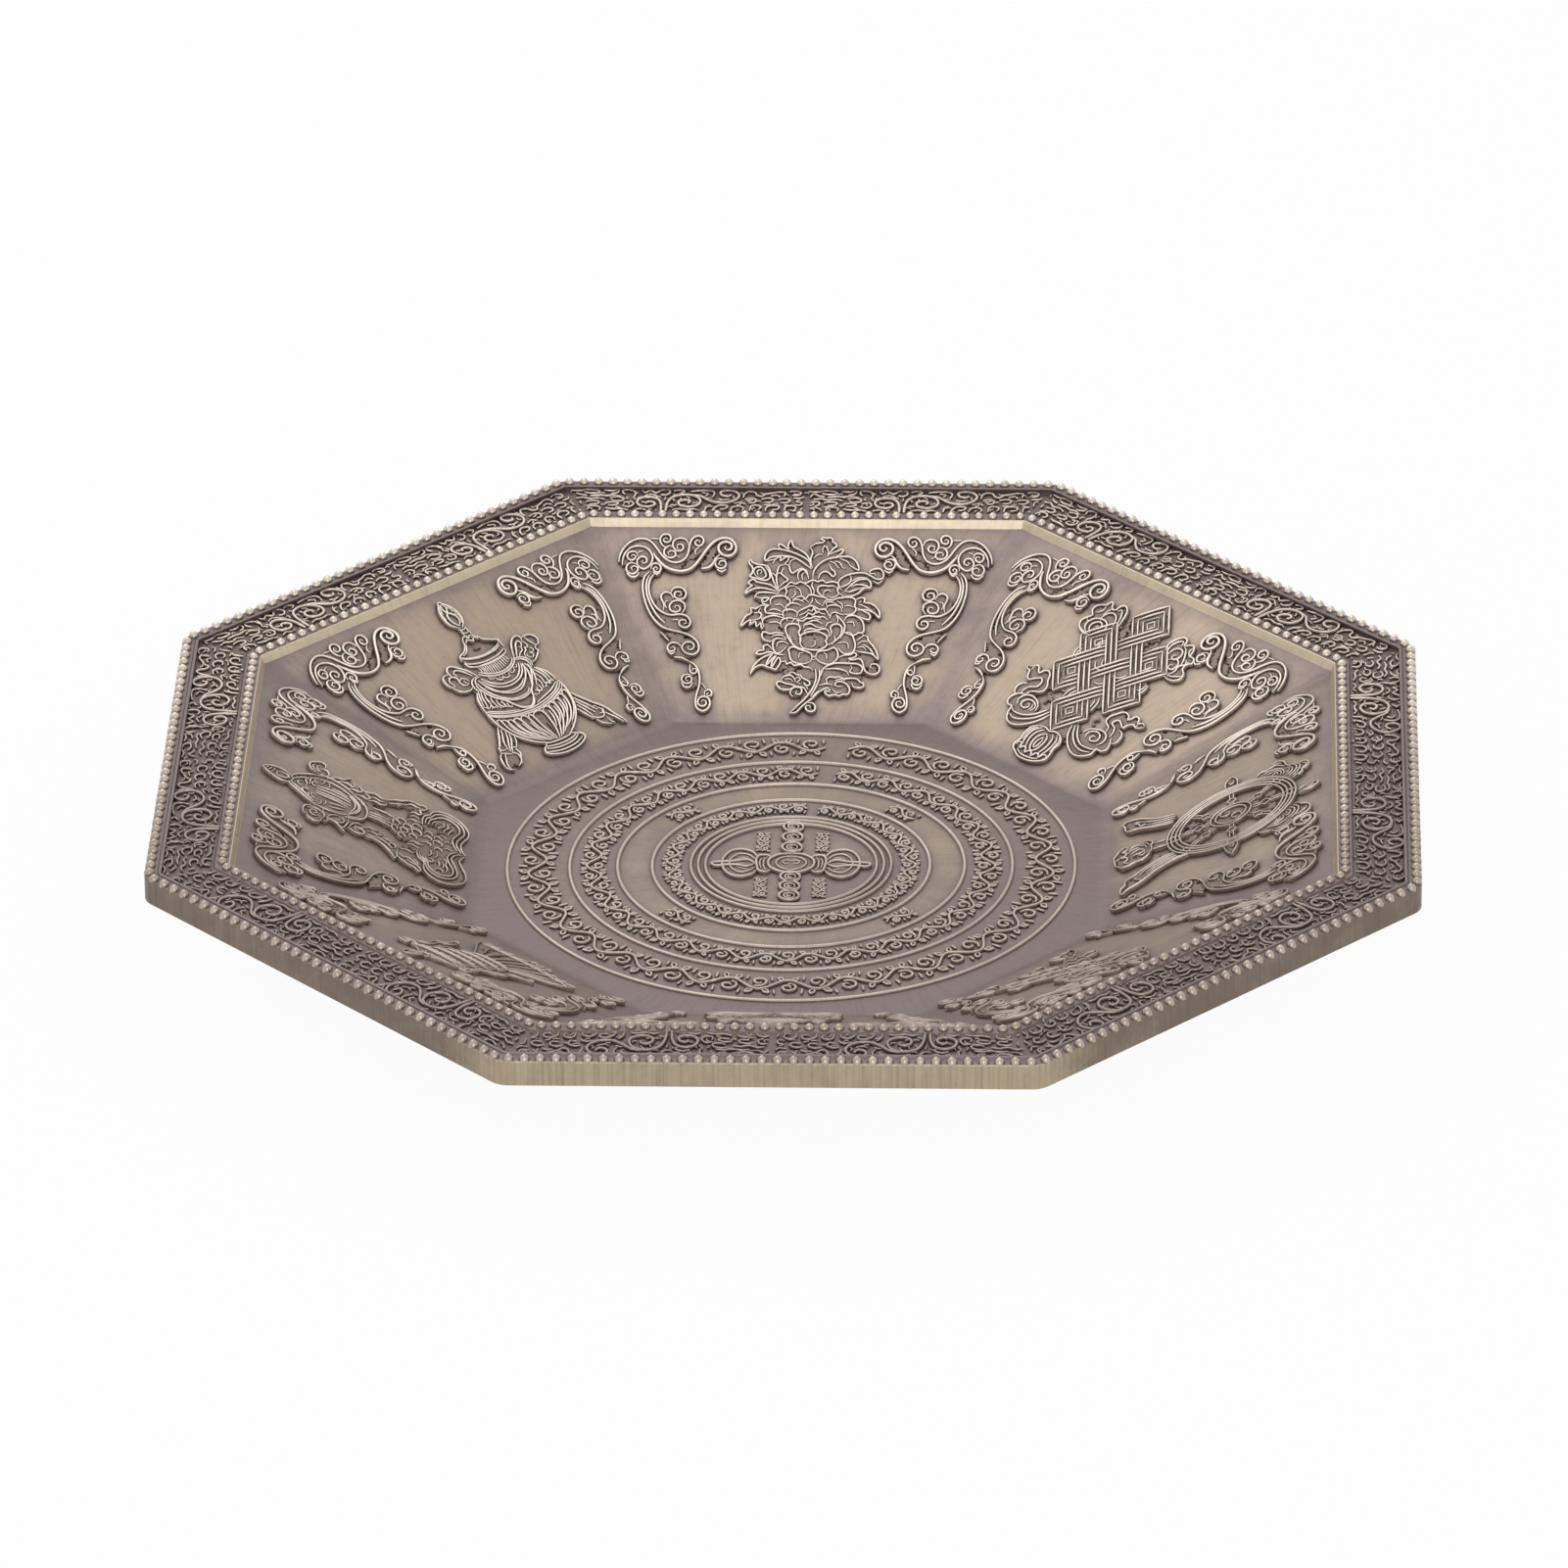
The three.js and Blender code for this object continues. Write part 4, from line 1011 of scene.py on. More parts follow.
CONCH = """
# ribbon finial
531,60 500,100 492,150 515,195 531,215 547,195 570,150 562,100 531,60
531,100 515,135 531,175 547,135 531,100
# whorls at the top
531,215 480,225 440,260 425,310 445,350 495,370 550,368 600,345 615,300 595,260 560,240 520,250 500,285
  515,315 550,320 570,300
430,330 390,360 365,410 375,460 420,490 490,505 560,502 625,480 660,435 655,385 620,345
400,385 440,420 510,435 580,425 635,395
370,440 330,480 305,540 310,600 350,640
655,430 700,470 730,530 728,600 700,660
320,510 380,560 460,585 550,585 640,560 715,515
308,560 360,610 450,640 550,642 650,615 728,565
# body of the shell
350,640 330,700 330,780 350,860 390,940 440,1010 490,1070 531,1120
700,660 725,730 722,800 700,880 660,960 610,1040 565,1090 531,1120
600,650 560,700 530,770 515,850 515,930 525,1010 531,1080
660,655 625,710 590,780 570,850 560,930 555,1010 548,1070
540,660 490,720 460,790 450,860 460,930 485,1000
480,660 430,720 405,790 400,850 415,910
420,650 380,700 365,760 365,820
690,700 665,760 640,830 620,900 600,970
705,770 685,830 660,890
# ribbons
305,540 260,520 225,480 235,430 280,420 300,455 280,485 258,470 268,452
310,600 255,610 215,650 225,710 190,760 150,800 165,850 205,835 215,800
318,640 275,665 255,710 262,760 235,810 200,850
330,740 280,790 285,850 240,900 205,960 160,1000 150,1050 190,1060 215,1020
345,850 305,900 300,960 255,1010 225,1060
730,540 780,520 815,480 805,430 762,420 742,455 762,485 784,470 774,452
728,600 785,610 825,650 815,710 850,760 890,800 875,850 835,835 825,800
715,640 765,665 785,710 778,760 805,810 840,850
722,750 762,790 757,850 802,900 837,960 882,1000 892,1050 852,1060 827,1020
700,870 737,905 742,960 787,1010 817,1060
# swirls of the foot
= 531,1120 480,1090 420,1090 360,1120 300,1110 240,1090 180,1110 150,1165 165,1230 220,1270 290,1275
  350,1250 400,1235 460,1250 531,1310
= 500,1140 440,1130 380,1160 310,1150 250,1130 205,1150 190,1190 215,1230 280,1240 350,1215 410,1200
  470,1215 531,1270
= 240,1165 275,1180 260,1205 232,1195
= 310,1190 350,1180 400,1170 450,1170 500,1190
"""

FRIEZE = """
* 403,302 408,240 425,198 462,180 500,192 516,228 505,258 474,271 447,256 446,230 466,218 482,228
  474,240
* 388,302 386,250 374,213 347,198 318,208 307,236 318,264 346,272 366,256 360,236 343,232 337,246
* 478,178 512,190 540,218 570,238 606,236 634,214 642,182 624,152 598,146 580,162 586,184 606,190
  616,174
482,152 515,146 552,150 560,172 552,196
520,160 540,172 530,186
575,205 590,215 612,208
425,150 445,142 462,156 446,168
320,142 330,166 348,150 368,166 386,144 406,142 414,164 400,182 384,176
330,186 352,176 374,190
292,200 300,178 292,152 268,142 256,158 266,176
196,146 224,152 244,142 240,166 218,172
86,148 118,152 142,142 176,152 180,168 156,172 132,162
92,190 104,168 122,182 140,184
150,190 178,186 206,190 230,184 252,192
216,204 240,196 262,210 256,226 232,226 222,216
104,208 128,202 150,214 176,206 200,214
262,236 286,232 296,252 282,270 262,264 266,248
204,240 228,236 246,246 236,258 212,256
96,228 118,226 124,246 108,258
138,232 160,226 182,234 176,250 152,250
204,276 228,286 256,284 280,292
92,278 106,268 126,278 130,294
146,292 150,270 172,266 188,278 182,294
252,272 238,268
300,292 318,284 340,292
424,292 444,284 470,290 496,284 512,292
532,296 536,268 550,250
556,294 566,270 584,256 606,262 600,280 582,282
616,292 624,270 644,262 660,276 654,292
626,240 650,232 664,246
656,196 660,170 676,152 694,160 700,180 716,188 730,172 752,164 774,154 794,160 790,186
662,208 684,204 700,216 692,236 674,232
716,206 738,200 756,212 748,230 728,230
746,184 766,178 778,192
772,210 796,204 812,218 800,234 780,230
680,292 684,262 700,254 716,266 708,284
732,294 736,266 756,254 776,262 772,282 754,284
794,294 798,264 816,256 832,268 826,290
808,150 830,146 846,160 838,178 818,176
822,196 842,200 856,188
832,226 850,232 846,250 828,248
846,290 852,270
"""

SCEPTRE = """
* 757,704 784,710 806,730 812,752 806,776 784,796 757,801
757,719 777,724 790,740 793,753 789,767 777,780 757,785
757,742 768,738 777,746 772,756 762,753
* 806,724 814,714 834,718 840,738 838,768 832,794 814,798 806,786
816,724 822,740 822,770 816,788
828,728 832,752 828,780
* 838,722 850,700 876,686 900,694 916,722 921,752 916,786 900,814 876,824 850,812 838,788
840,738 858,714 880,708 898,728 904,753 898,780 880,800 858,794 840,772
* 842,754 862,738 884,744 906,748 940,752 946,760 936,770 906,764 884,766 862,772 842,756
868,755 890,755
858,724 874,728 886,736
858,786 874,780 886,772
"""


# Modelling steps

def clear_selection():
    if bpy.context.object and bpy.context.object.mode != "OBJECT":
        bpy.ops.object.mode_set(mode="OBJECT")
    bpy.ops.object.select_all(action="DESELECT")


def pick(piece):
    clear_selection()
    piece.select_set(True)
    bpy.context.view_layer.objects.active = piece


def added(name):
    piece = bpy.context.object
    piece.name = name
    return piece


def select_only(piece, mode, parts, chosen):
    """Selects in edit mode the faces or vertices for which chosen holds, and no others."""
    pick(piece)
    bpy.ops.object.mode_set(mode="EDIT")
    bpy.ops.mesh.select_mode(type=mode)
    bpy.ops.mesh.select_all(action="DESELECT")
    bpy.ops.object.mode_set(mode="OBJECT")
    for part in getattr(piece.data, parts):
        part.select = chosen(part)
    bpy.ops.object.mode_set(mode="EDIT")


def select_faces(piece, chosen):
    select_only(piece, "FACE", "polygons", chosen)


def select_points(piece, chosen):
    select_only(piece, "VERT", "vertices", chosen)


def apply_modifier(piece, kind, **settings):
    pick(piece)
    modifier = piece.modifiers.new(kind.lower(), kind)
    for name, value in settings.items():
        setattr(modifier, name, value)
    bpy.ops.object.modifier_apply(modifier=modifier.name)


def lay(piece, matrix):
    """Puts a piece at its place and bakes the place into its mesh."""
    pick(piece)
    piece.matrix_world = matrix
    bpy.ops.object.transform_apply(location=True, rotation=True, scale=True)


def join(pieces, name):
    clear_selection()
    for piece in pieces:
        piece.select_set(True)
    bpy.context.view_layer.objects.active = pieces[0]
    bpy.ops.object.join()
    return added(name)


def smooth(piece, degrees):
    pick(piece)
    bpy.ops.object.shade_smooth_by_angle(angle=math.radians(degrees))


def dressed(piece, material, slot, *nodes):
    """Gives a finished piece its finish and the solids that it stands for; slot is not used."""
    piece.data.materials.clear()
    piece.data.materials.append(material)
    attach(piece, "root")
    if nodes:
        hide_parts(*nodes)
    return piece


def second_finish(piece, chosen, slot):
    """Gives the chosen faces of a dressed piece another of its finishes."""
    for face in piece.data.polygons:
        if chosen(face):
            face.material_index = slot


def octagon_reach(apothem):
    return apothem / math.cos(HALF_TURN)


def rim_spot(apothem, radius, share):
    """A spot on a round-cornered octagon at a share of its length: x, y and outward angle."""
    straight = 2 * (apothem - radius) * math.tan(HALF_TURN)
    bend = 2 * HALF_TURN * radius
    along = (share * SIDES) % SIDES
    side = int(along)
    rest = (along - side) * (straight + bend) - (straight + bend) / 2
    facing = 2 * HALF_TURN * side
    turned = min(max(abs(rest) - straight / 2, 0), bend / 2)
    turn = math.copysign(turned, rest) / radius if radius > 0 else 0
    run = min(max(rest, -straight / 2), straight / 2)
    core = apothem - radius
    outward = facing + turn
    x = core * math.cos(facing) - run * math.sin(facing) + radius * math.cos(outward)
    y = core * math.sin(facing) + run * math.cos(facing) + radius * math.sin(outward)
    return x, y, outward, SIDES * (straight + bend)


def panel_place(side):
    """From a sloping side's own frame, x along it, y up its slope, z off it, to the tray's."""
    turn = Matrix.Rotation(2 * HALF_TURN * side - math.pi / 2, 4, "Z")
    foot = Matrix.Translation(Vector((0, FLOOR_APOTHEM * MM, FLOOR_TOP * MM)))
    slope = Matrix.Rotation(PANEL_ANGLE, 4, "X")
    margin = Matrix.Translation(Vector((0, RELIEF_FOOT * MM, 0)))
    return turn @ foot @ slope @ margin


# The dish

class Turned:
    """Steps an octagonal face in and out like a turned profile, corners kept concentric."""

    def __init__(self, piece, apothem, radius, z, up):
        self.piece, self.apothem, self.radius, self.z, self.up = piece, apothem, radius, z, up

    def step(self, apothem, z):
        drop = self.apothem - apothem
        if self.radius > 0 and drop > self.radius:
            share = self.radius / drop
            between = self.apothem - self.radius
            self.inset(between, self.z + (z - self.z) * share)
            bpy.ops.mesh.remove_doubles(threshold=0.5 * MM)
            self.radius = 0
            self.true_corners(between)
        self.inset(apothem, z)

    def true_corners(self, apothem):
        """Sets the eight points, where the round corners have closed, exactly on the mitres."""
        bpy.ops.object.mode_set(mode="OBJECT")
        for point in (point for point in self.piece.data.vertices if point.select):
            turn = math.atan2(point.co.y, point.co.x)
            mitre = (round(turn / (2 * HALF_TURN) - 0.5) + 0.5) * 2 * HALF_TURN
            point.co.x = octagon_reach(apothem) * math.cos(mitre) * MM
            point.co.y = octagon_reach(apothem) * math.sin(mitre) * MM
        bpy.ops.object.mode_set(mode="EDIT")

    def inset(self, apothem, z):
        drop = self.apothem - apothem
        if drop == 0:
            bpy.ops.mesh.extrude_region_move(TRANSFORM_OT_translate={"value": (0, 0, (z - self.z) * MM)})
        else:
            bpy.ops.mesh.inset(thickness=drop * MM, depth=(z - self.z) * self.up * MM, use_even_offset=True)
            self.radius = max(self.radius - drop, 0)
        self.apothem, self.z = apothem, z


def apothem_at(spot):
    """Distance from the middle of the tray straight out to the octagon through a spot, in mm."""
    return max(abs(spot.x * math.cos(turn) + spot.y * math.sin(turn))
               for turn in (2 * HALF_TURN * side for side in range(4))) / MM


def in_channel(face):
    """Faces of the frieze channel's floor and walls."""
    return (CHANNEL_INNER - 0.2 < apothem_at(face.center) < CHANNEL_OUTER + 0.1
            and CHANNEL_FLOOR - 0.1 < face.center.z / MM < FILLET_TOP - 0.1)


def in_lip(face):
    """Faces of the bright strip between the inner beads and the sloping sides."""
    return (PANEL_TOP_APOTHEM < apothem_at(face.center) < MOUTH_APOTHEM + 0.3
            and face.center.z / MM > LIP_FOOT)


def on_skirt(face):
    """Faces of the upright outer band and of the edge under its beads."""
    return apothem_at(face.center) > BEAD_APOTHEM - 0.1 and face.center.z / MM > SKIRT_FOOT - 0.1


def cast_dish(material):
    clear_selection()
    bpy.ops.mesh.primitive_cylinder_add(
        vertices=SIDES * (CORNER_STEPS + 1), radius=RIM_APOTHEM * MM,
        depth=(RIM_TOP - RIM_BREAK - SKIRT_FOOT) * MM,
        location=(0, 0, (RIM_TOP - RIM_BREAK + SKIRT_FOOT) / 2 * MM))
    piece = added("cast_dish")
    bpy.ops.object.transform_apply(location=True, rotation=True, scale=True)
    core = octagon_reach(RIM_APOTHEM - CORNER_RADIUS)
    for point in piece.data.vertices:
        turn = math.atan2(point.co.y, point.co.x) % (2 * math.pi)
        corner, step = divmod(round(turn / (2 * math.pi) * SIDES * (CORNER_STEPS + 1)), CORNER_STEPS + 1)
        middle = HALF_TURN * (2 * corner + 1)
        outward = middle + HALF_TURN * (2 * step / CORNER_STEPS - 1)
        point.co.x = (core * math.cos(middle) + CORNER_RADIUS * math.cos(outward)) * MM
        point.co.y = (core * math.sin(middle) + CORNER_RADIUS * math.sin(outward)) * MM
    select_faces(piece, lambda face: face.normal.z > 0.9)
    top = Turned(piece, RIM_APOTHEM, CORNER_RADIUS, RIM_TOP - RIM_BREAK, 1)
    for apothem, z in (
        (RIM_APOTHEM - TOP_BREAK, RIM_TOP),
        (FILLET_APOTHEM, RIM_TOP), (FILLET_APOTHEM - FILLET_DRAFT, FILLET_TOP),
        (CHANNEL_OUTER, FILLET_TOP), (CHANNEL_OUTER, CHANNEL_FLOOR),
        (CHANNEL_INNER + CHANNEL_DRAFT, CHANNEL_FLOOR), (CHANNEL_INNER, LIP_TOP),
        (MOUTH_APOTHEM, LIP_TOP), (PANEL_TOP_APOTHEM, LIP_FOOT),
        (FLOOR_APOTHEM, FLOOR_TOP),
    ):
        top.step(apothem, z)
    select_faces(piece, lambda face: face.normal.z < -0.9)
    drop = WALL / math.cos(PANEL_ANGLE)
    slope = math.tan(PANEL_ANGLE)
    foot = FLOOR_APOTHEM + (drop - FLOOR_TOP) / slope
    shoulder = FLOOR_APOTHEM + (RIM_UNDERSIDE - FLOOR_TOP + drop) / slope
    under = Turned(piece, RIM_APOTHEM, CORNER_RADIUS, SKIRT_FOOT, -1)
    for apothem, z in ((SKIRT_INSIDE, SKIRT_FOOT), (SKIRT_INSIDE, RIM_UNDERSIDE),
                       (shoulder, RIM_UNDERSIDE), (foot, 0.0)):
        under.step(apothem, z)
    bpy.ops.object.mode_set(mode="OBJECT")
    soften_edges(piece)
    return dressed(piece, material, "dish", "tray_dish")


def soften_edges(piece):
    """Weights each sharp edge by how wide the casting's finish has rounded it, then bevels."""
    mesh = piece.data
    weights = mesh.attributes.new("bevel_weight_edge", "FLOAT", "EDGE")
    faces = {}
    for face in mesh.polygons:
        for key in face.edge_keys:
            faces.setdefault(key, []).append(face.normal.copy())
    for edge in mesh.edges:
        normals = faces[tuple(sorted(edge.vertices))]
        turn = math.degrees(normals[0].angle(normals[1]))
        if turn < LEAST_EDGE_TURN:
            continue
        a, b = (mesh.vertices[index].co for index in edge.vertices)
        level = abs(a.z - b.z) < LEVEL_WITHIN * MM
        at_floor = level and abs(a.z - FLOOR_TOP * MM) < LEVEL_WITHIN * MM
        mitre = abs(a.z - b.z) > LEAST_MITRE_RISE * MM
        width = FLOOR_EDGE if at_floor else MITRE_EDGE if mitre else LEVEL_EDGE if level else UPRIGHT_EDGE
        weights.data[edge.index].value = width / WIDEST_EDGE
    apply_modifier(piece, "BEVEL", limit_method="WEIGHT", width=WIDEST_EDGE * MM, segments=EDGE_STEPS,
                   use_clamp_overlap=True, offset_type="OFFSET")
    smooth(piece, 30)
    apply_modifier(piece, "WEIGHTED_NORMAL", keep_sharp=True, weight=80)


# Beads and rings

def bead(width, height):
    """A cast dome, drawn up to a soft point."""
    clear_selection()
    bpy.ops.mesh.primitive_uv_sphere_add(segments=10, ring_count=8, radius=width / 2 * MM)
    piece = added("bead")
    select_faces(piece, lambda face: face.center.z < 0)
    bpy.ops.mesh.delete(type="FACE")
    bpy.ops.mesh.select_all(action="SELECT")
    bpy.ops.transform.resize(value=(1, 1, height / (width / 2) * (1 - BEAD_POINT)))
    select_points(piece, lambda point: math.hypot(point.co.x, point.co.y) < 0.02 * MM)
    bpy.ops.transform.translate(value=(0, 0, height * BEAD_POINT * MM))
    select_points(piece, lambda point: point.co.z < 0.01 * MM)
    bpy.ops.mesh.extrude_region_move(TRANSFORM_OT_translate={"value": (0, 0, -BEAD_SINK * MM)})
    bpy.ops.mesh.edge_face_add()
    bpy.ops.object.mode_set(mode="OBJECT")
    smooth(piece, 50)
    return piece


def bead_row(name, apothem, radius, bottom, node, pitch, width, height):
    """Beads round a round-cornered octagon, each a little different, joined in one strip."""
    first = bead(width, height)
    length = rim_spot(apothem, radius, 0)[3]
    count = SIDES * round(length / pitch / SIDES)
    hand = random.Random(name)
    beads = []
    for index in range(count):
        x, y, outward, _ = rim_spot(apothem, radius, (index + 0.5) / count)
        dome = first.copy()
        dome.data = first.data.copy()
        bpy.context.scene.collection.objects.link(dome)
        size = hand.uniform(0.95, 1.04)
        place = Matrix.Translation(Vector((x, y, bottom)) * MM)
        turn = Matrix.Rotation(outward + hand.uniform(-0.2, 0.2), 4, "Z")
        spread = Matrix.Diagonal((size, size * hand.uniform(0.96, 1.04), hand.uniform(0.92, 1.0), 1))
        dome.data.transform(place @ turn @ spread)
        beads.append(dome)
    bpy.data.objects.remove(first)
    return dressed(join(beads, name), BEADED, "beads", node)


def floor_ring(name, radius, width, height, *nodes):
    clear_selection()
    bpy.ops.mesh.primitive_torus_add(
        location=(0, 0, FLOOR_TOP * MM), major_radius=radius * MM, minor_radius=width / 2 * MM,
        major_segments=144, minor_segments=10)
    piece = added(name)
    bpy.ops.object.transform_apply(location=True, rotation=True, scale=True)
    bpy.ops.object.mode_set(mode="EDIT")
    bpy.ops.mesh.select_all(action="SELECT")
    bpy.ops.transform.resize(value=(1, 1, height / (width / 2)),
                             center_override=(0, 0, FLOOR_TOP * MM))
    bpy.ops.object.mode_set(mode="OBJECT")
    smooth(piece, 60)
    return dressed(piece, CHASED, "field", *nodes)


# Drawn lines and plates

def curl(x, y, radius, start, sweep, end=0.22):
    """Points of a curl that winds in from its start angle; y is up."""
    steps = max(3, int(abs(sweep) / 30))
    for step in range(steps + 1):
        share = step / steps
        angle = math.radians(start + sweep * share)
        reach = radius * (1 + (end - 1) * share)
        yield x + reach * math.cos(angle), y + reach * math.sin(angle)


def drawn(table):
    """Rows of a drawing: the words of each line and whether it is bold; an indented row runs on."""
    lines = []
    for row in table.strip().replace("\n  ", " ").splitlines():
        if row.startswith("#"):
            continue
        words = [tuple(map(float, word.split(","))) for word in row.strip("*= ").split()]
        lines.append((row.startswith("*"), words))
        if row.startswith("="):
            lines.append((False, [(2 * MIRROR_COLUMN - column, line) for column, line in words]))
    return lines


def on_sheet(rows, middle, foot, step=SHEET_STEP, pressed=1, held=0):
    """Rows as lines in drawing units, out from the middle column and up from the foot row.

    A drawing can be pressed together towards a row that is held. A word of two numbers is a
    point, a longer one a curl.
    """
    scale = step / DRAWING_UNIT
    lines = []
    for bold, words in rows:
        points = []
        for column, row, *curled in words:
            spot = (column - middle) * scale, (foot - held - (row - held) * pressed) * scale
            if curled:
                points.extend(curl(*spot, curled[0] * scale, *curled[1:]))
            else:
                points.append(spot)
        lines.append((bold, points))
    return lines


def camera_back():
    """The direction from the tray towards the camera."""
    level = math.cos(CAMERA_RISE)
    return Vector((math.sin(CAMERA_TURN) * level, -math.cos(CAMERA_TURN) * level, math.sin(CAMERA_RISE)))


def as_seen(rows, side, middle=SHEET_MIDDLE, pressed=1, held=0):
    """Lines of a side as the camera sees them, moved by how far it sees their tops aside."""
    toward = panel_place(side).to_3x3().inverted() @ camera_back()
    lean = toward.xy * (DRAWN_HEIGHT / toward.z / DRAWING_UNIT)
    return moved(on_sheet(rows, middle, SHEET_FOOT, SHEET_STEP, pressed, held), *lean)


def flowing(points, spacing):
    """The smooth curve through the drawn points, as points a spacing apart."""
    run = []
    for index in range(len(points) - 1):
        before = points[max(index - 1, 0)]
        a, b = points[index], points[index + 1]
        after = points[min(index + 2, len(points) - 1)]
        parts = max(1, round(math.dist(a, b) / spacing))
        for part in range(parts):
            t = part / parts
            run.append(tuple(
                0.5 * (2 * a[k] + (b[k] - before[k]) * t
                       + (2 * before[k] - 5 * a[k] + 4 * b[k] - after[k]) * t * t
                       + (3 * a[k] - before[k] - 3 * b[k] + after[k]) * t ** 3)
                for k in (0, 1)))
    run.append(points[-1])
    return run


def wires(name, lines, radius, height, spacing, taper, depth=0):
    """Round-topped wires along the lines, thinner at their ends, drawn out downwards by depth."""
    curve = bpy.data.curves.new(name, "CURVE")
    curve.dimensions = "3D"
    curve.twist_mode = "Z_UP"
    curve.extrude = depth / 2 * MM
    curve.bevel_depth = radius * MM
    curve.bevel_resolution = 1
    curve.use_fill_caps = True
    for bold, points in lines:
        run = flowing(points, spacing)
        if len(run) < 2:
            continue
        spline = curve.splines.new("POLY")
        spline.points.add(len(run) - 1)
        for index, (point, (x, y)) in enumerate(zip(spline.points, run)):
            point.co = (x * DRAWING_UNIT * MM, y * DRAWING_UNIT * MM,
                        (height - depth / 2) * MM, 1)
            end = min(index, len(run) - 1 - index)
            point.radius = (BOLD if bold else 1) * (1 - taper * max(0, 1 - end / TAPER_STEPS))
    piece = bpy.data.objects.new(name, curve)
    bpy.context.scene.collection.objects.link(piece)
    pick(piece)
    bpy.ops.object.convert(target="MESH")
    return added(name)


def closed_in(lines):
    """Short rows of points wherever lines stand close by on every side."""
    cells = {}
    for _, points in lines:
        for x, y in flowing(points, FILL_STEP):
            cells.setdefault((round(x / FILL_SIGHT), round(y / FILL_SIGHT)), []).append((x, y))
    rows = []
    for column, row in sorted({(i + a, j + b) for i, j in cells for a in (-1, 0, 1) for b in (-1, 0, 1)}):
        near = [spot for a in (-1, 0, 1) for b in (-1, 0, 1) for spot in cells.get((column + a, row + b), ())]
        steps = round(FILL_SIGHT / FILL_STEP)
        for i in range(steps):
            for j in range(steps):
                x = (column - 0.5) * FILL_SIGHT + (i + 0.5) * FILL_SIGHT / steps
                y = (row - 0.5) * FILL_SIGHT + (j + 0.5) * FILL_SIGHT / steps
                seen = {int((math.atan2(v - y, u - x) / math.tau + 1) * FILL_SECTORS + 0.5) % FILL_SECTORS
                        for u, v in near if math.hypot(u - x, v - y) < FILL_SIGHT}
                if len(seen) == FILL_SECTORS:
                    rows.append((True, [(x - FILL_STEP / 2, y), (x + FILL_STEP / 2, y)]))
    return rows


def plate_under(name, lines):
    """The plate that carries the lines: wide wires run together, flat above and sunk below."""
    piece = wires(name, lines + closed_in(lines), PLATE_REACH, PLATE_AXIS, PLATE_SPACING, 0)
    piece.data.remesh_voxel_size = PLATE_VOXEL * MM
    bpy.ops.object.voxel_remesh()
    bpy.ops.object.mode_set(mode="EDIT")
    select_points(piece, lambda point: point.co.z > PLATE_FLAT * MM)
    bpy.ops.transform.resize(value=(1, 1, 0), center_override=(0, 0, PLATE_TOP * MM))
    select_points(piece, lambda point: point.co.z < PLATE_WALL * MM)
    bpy.ops.transform.resize(value=(1, 1, 0), center_override=(0, 0, -PLATE_SINK * MM))
    bpy.ops.object.mode_set(mode="OBJECT")
    apply_modifier(piece, "DECIMATE", ratio=PLATE_KEPT)
    smooth(piece, 32)
    return piece


def mirrored(lines):
    return [(bold, [(-x, y) for x, y in points]) for bold, points in lines]


def moved(lines, right, up=0):
    return [(bold, [(x + right, y + up) for x, y in points]) for bold, points in lines]


def within_mitres(lines):
    """Keeps the frieze's points on their own side of the corner mitres."""
    kept = []
    for bold, points in lines:
        inside = [(x, y) for x, y in points
                  if abs(x) < (CHANNEL_INNER / DRAWING_UNIT + y) * math.tan(HALF_TURN) - FRIEZE_MITRE_MARGIN]
        if len(inside) > 1:
            kept.append((bold, inside))
    return kept


def filled_in(lines, hand):
    """The lines with short hooks strewn wherever the ground between them is still bare."""
    taken = [Vector(spot) for _, points in lines for spot in flowing(points, FILL_STEP)]
    hooks = []
    for _ in range(HOOK_TRIES):
        spot = Vector((hand.uniform(-FRIEZE_HALF_WIDTH, FRIEZE_HALF_WIDTH), hand.uniform(10, FRIEZE_HEIGHT)))
        if min((spot - other).length_squared for other in taken) < HOOK_GAP ** 2:
            continue
        turn = hand.uniform(0, math.tau)
        hook = [spot]
        for _ in range(3):
            turn += hand.uniform(0.2, 1.1)
            step = hook[-1] + HOOK_GAP * HOOK_STEP * Vector((math.cos(turn), math.sin(turn)))
            if not 4 < step.y < FRIEZE_HEIGHT + 4:
                break
            hook.append(step)
        if len(hook) > 1:
            hooks.append((False, [tuple(point) for point in hook]))
            taken.extend(hook)
    return lines + hooks


# Lines worked out, not drawn

def joined_corners(corners):
    """Straight lines from corner to corner round a closed figure."""
    return [(False, [tuple(a), tuple(b)]) for a, b in zip(corners, corners[1:] + corners[:1])]


def oval(x, y, across, tall, steps=32):
    turns = [math.radians(360 * step / steps) for step in range(steps + 1)]
    return [(x + across * math.cos(turn), y + tall * math.sin(turn)) for turn in turns]


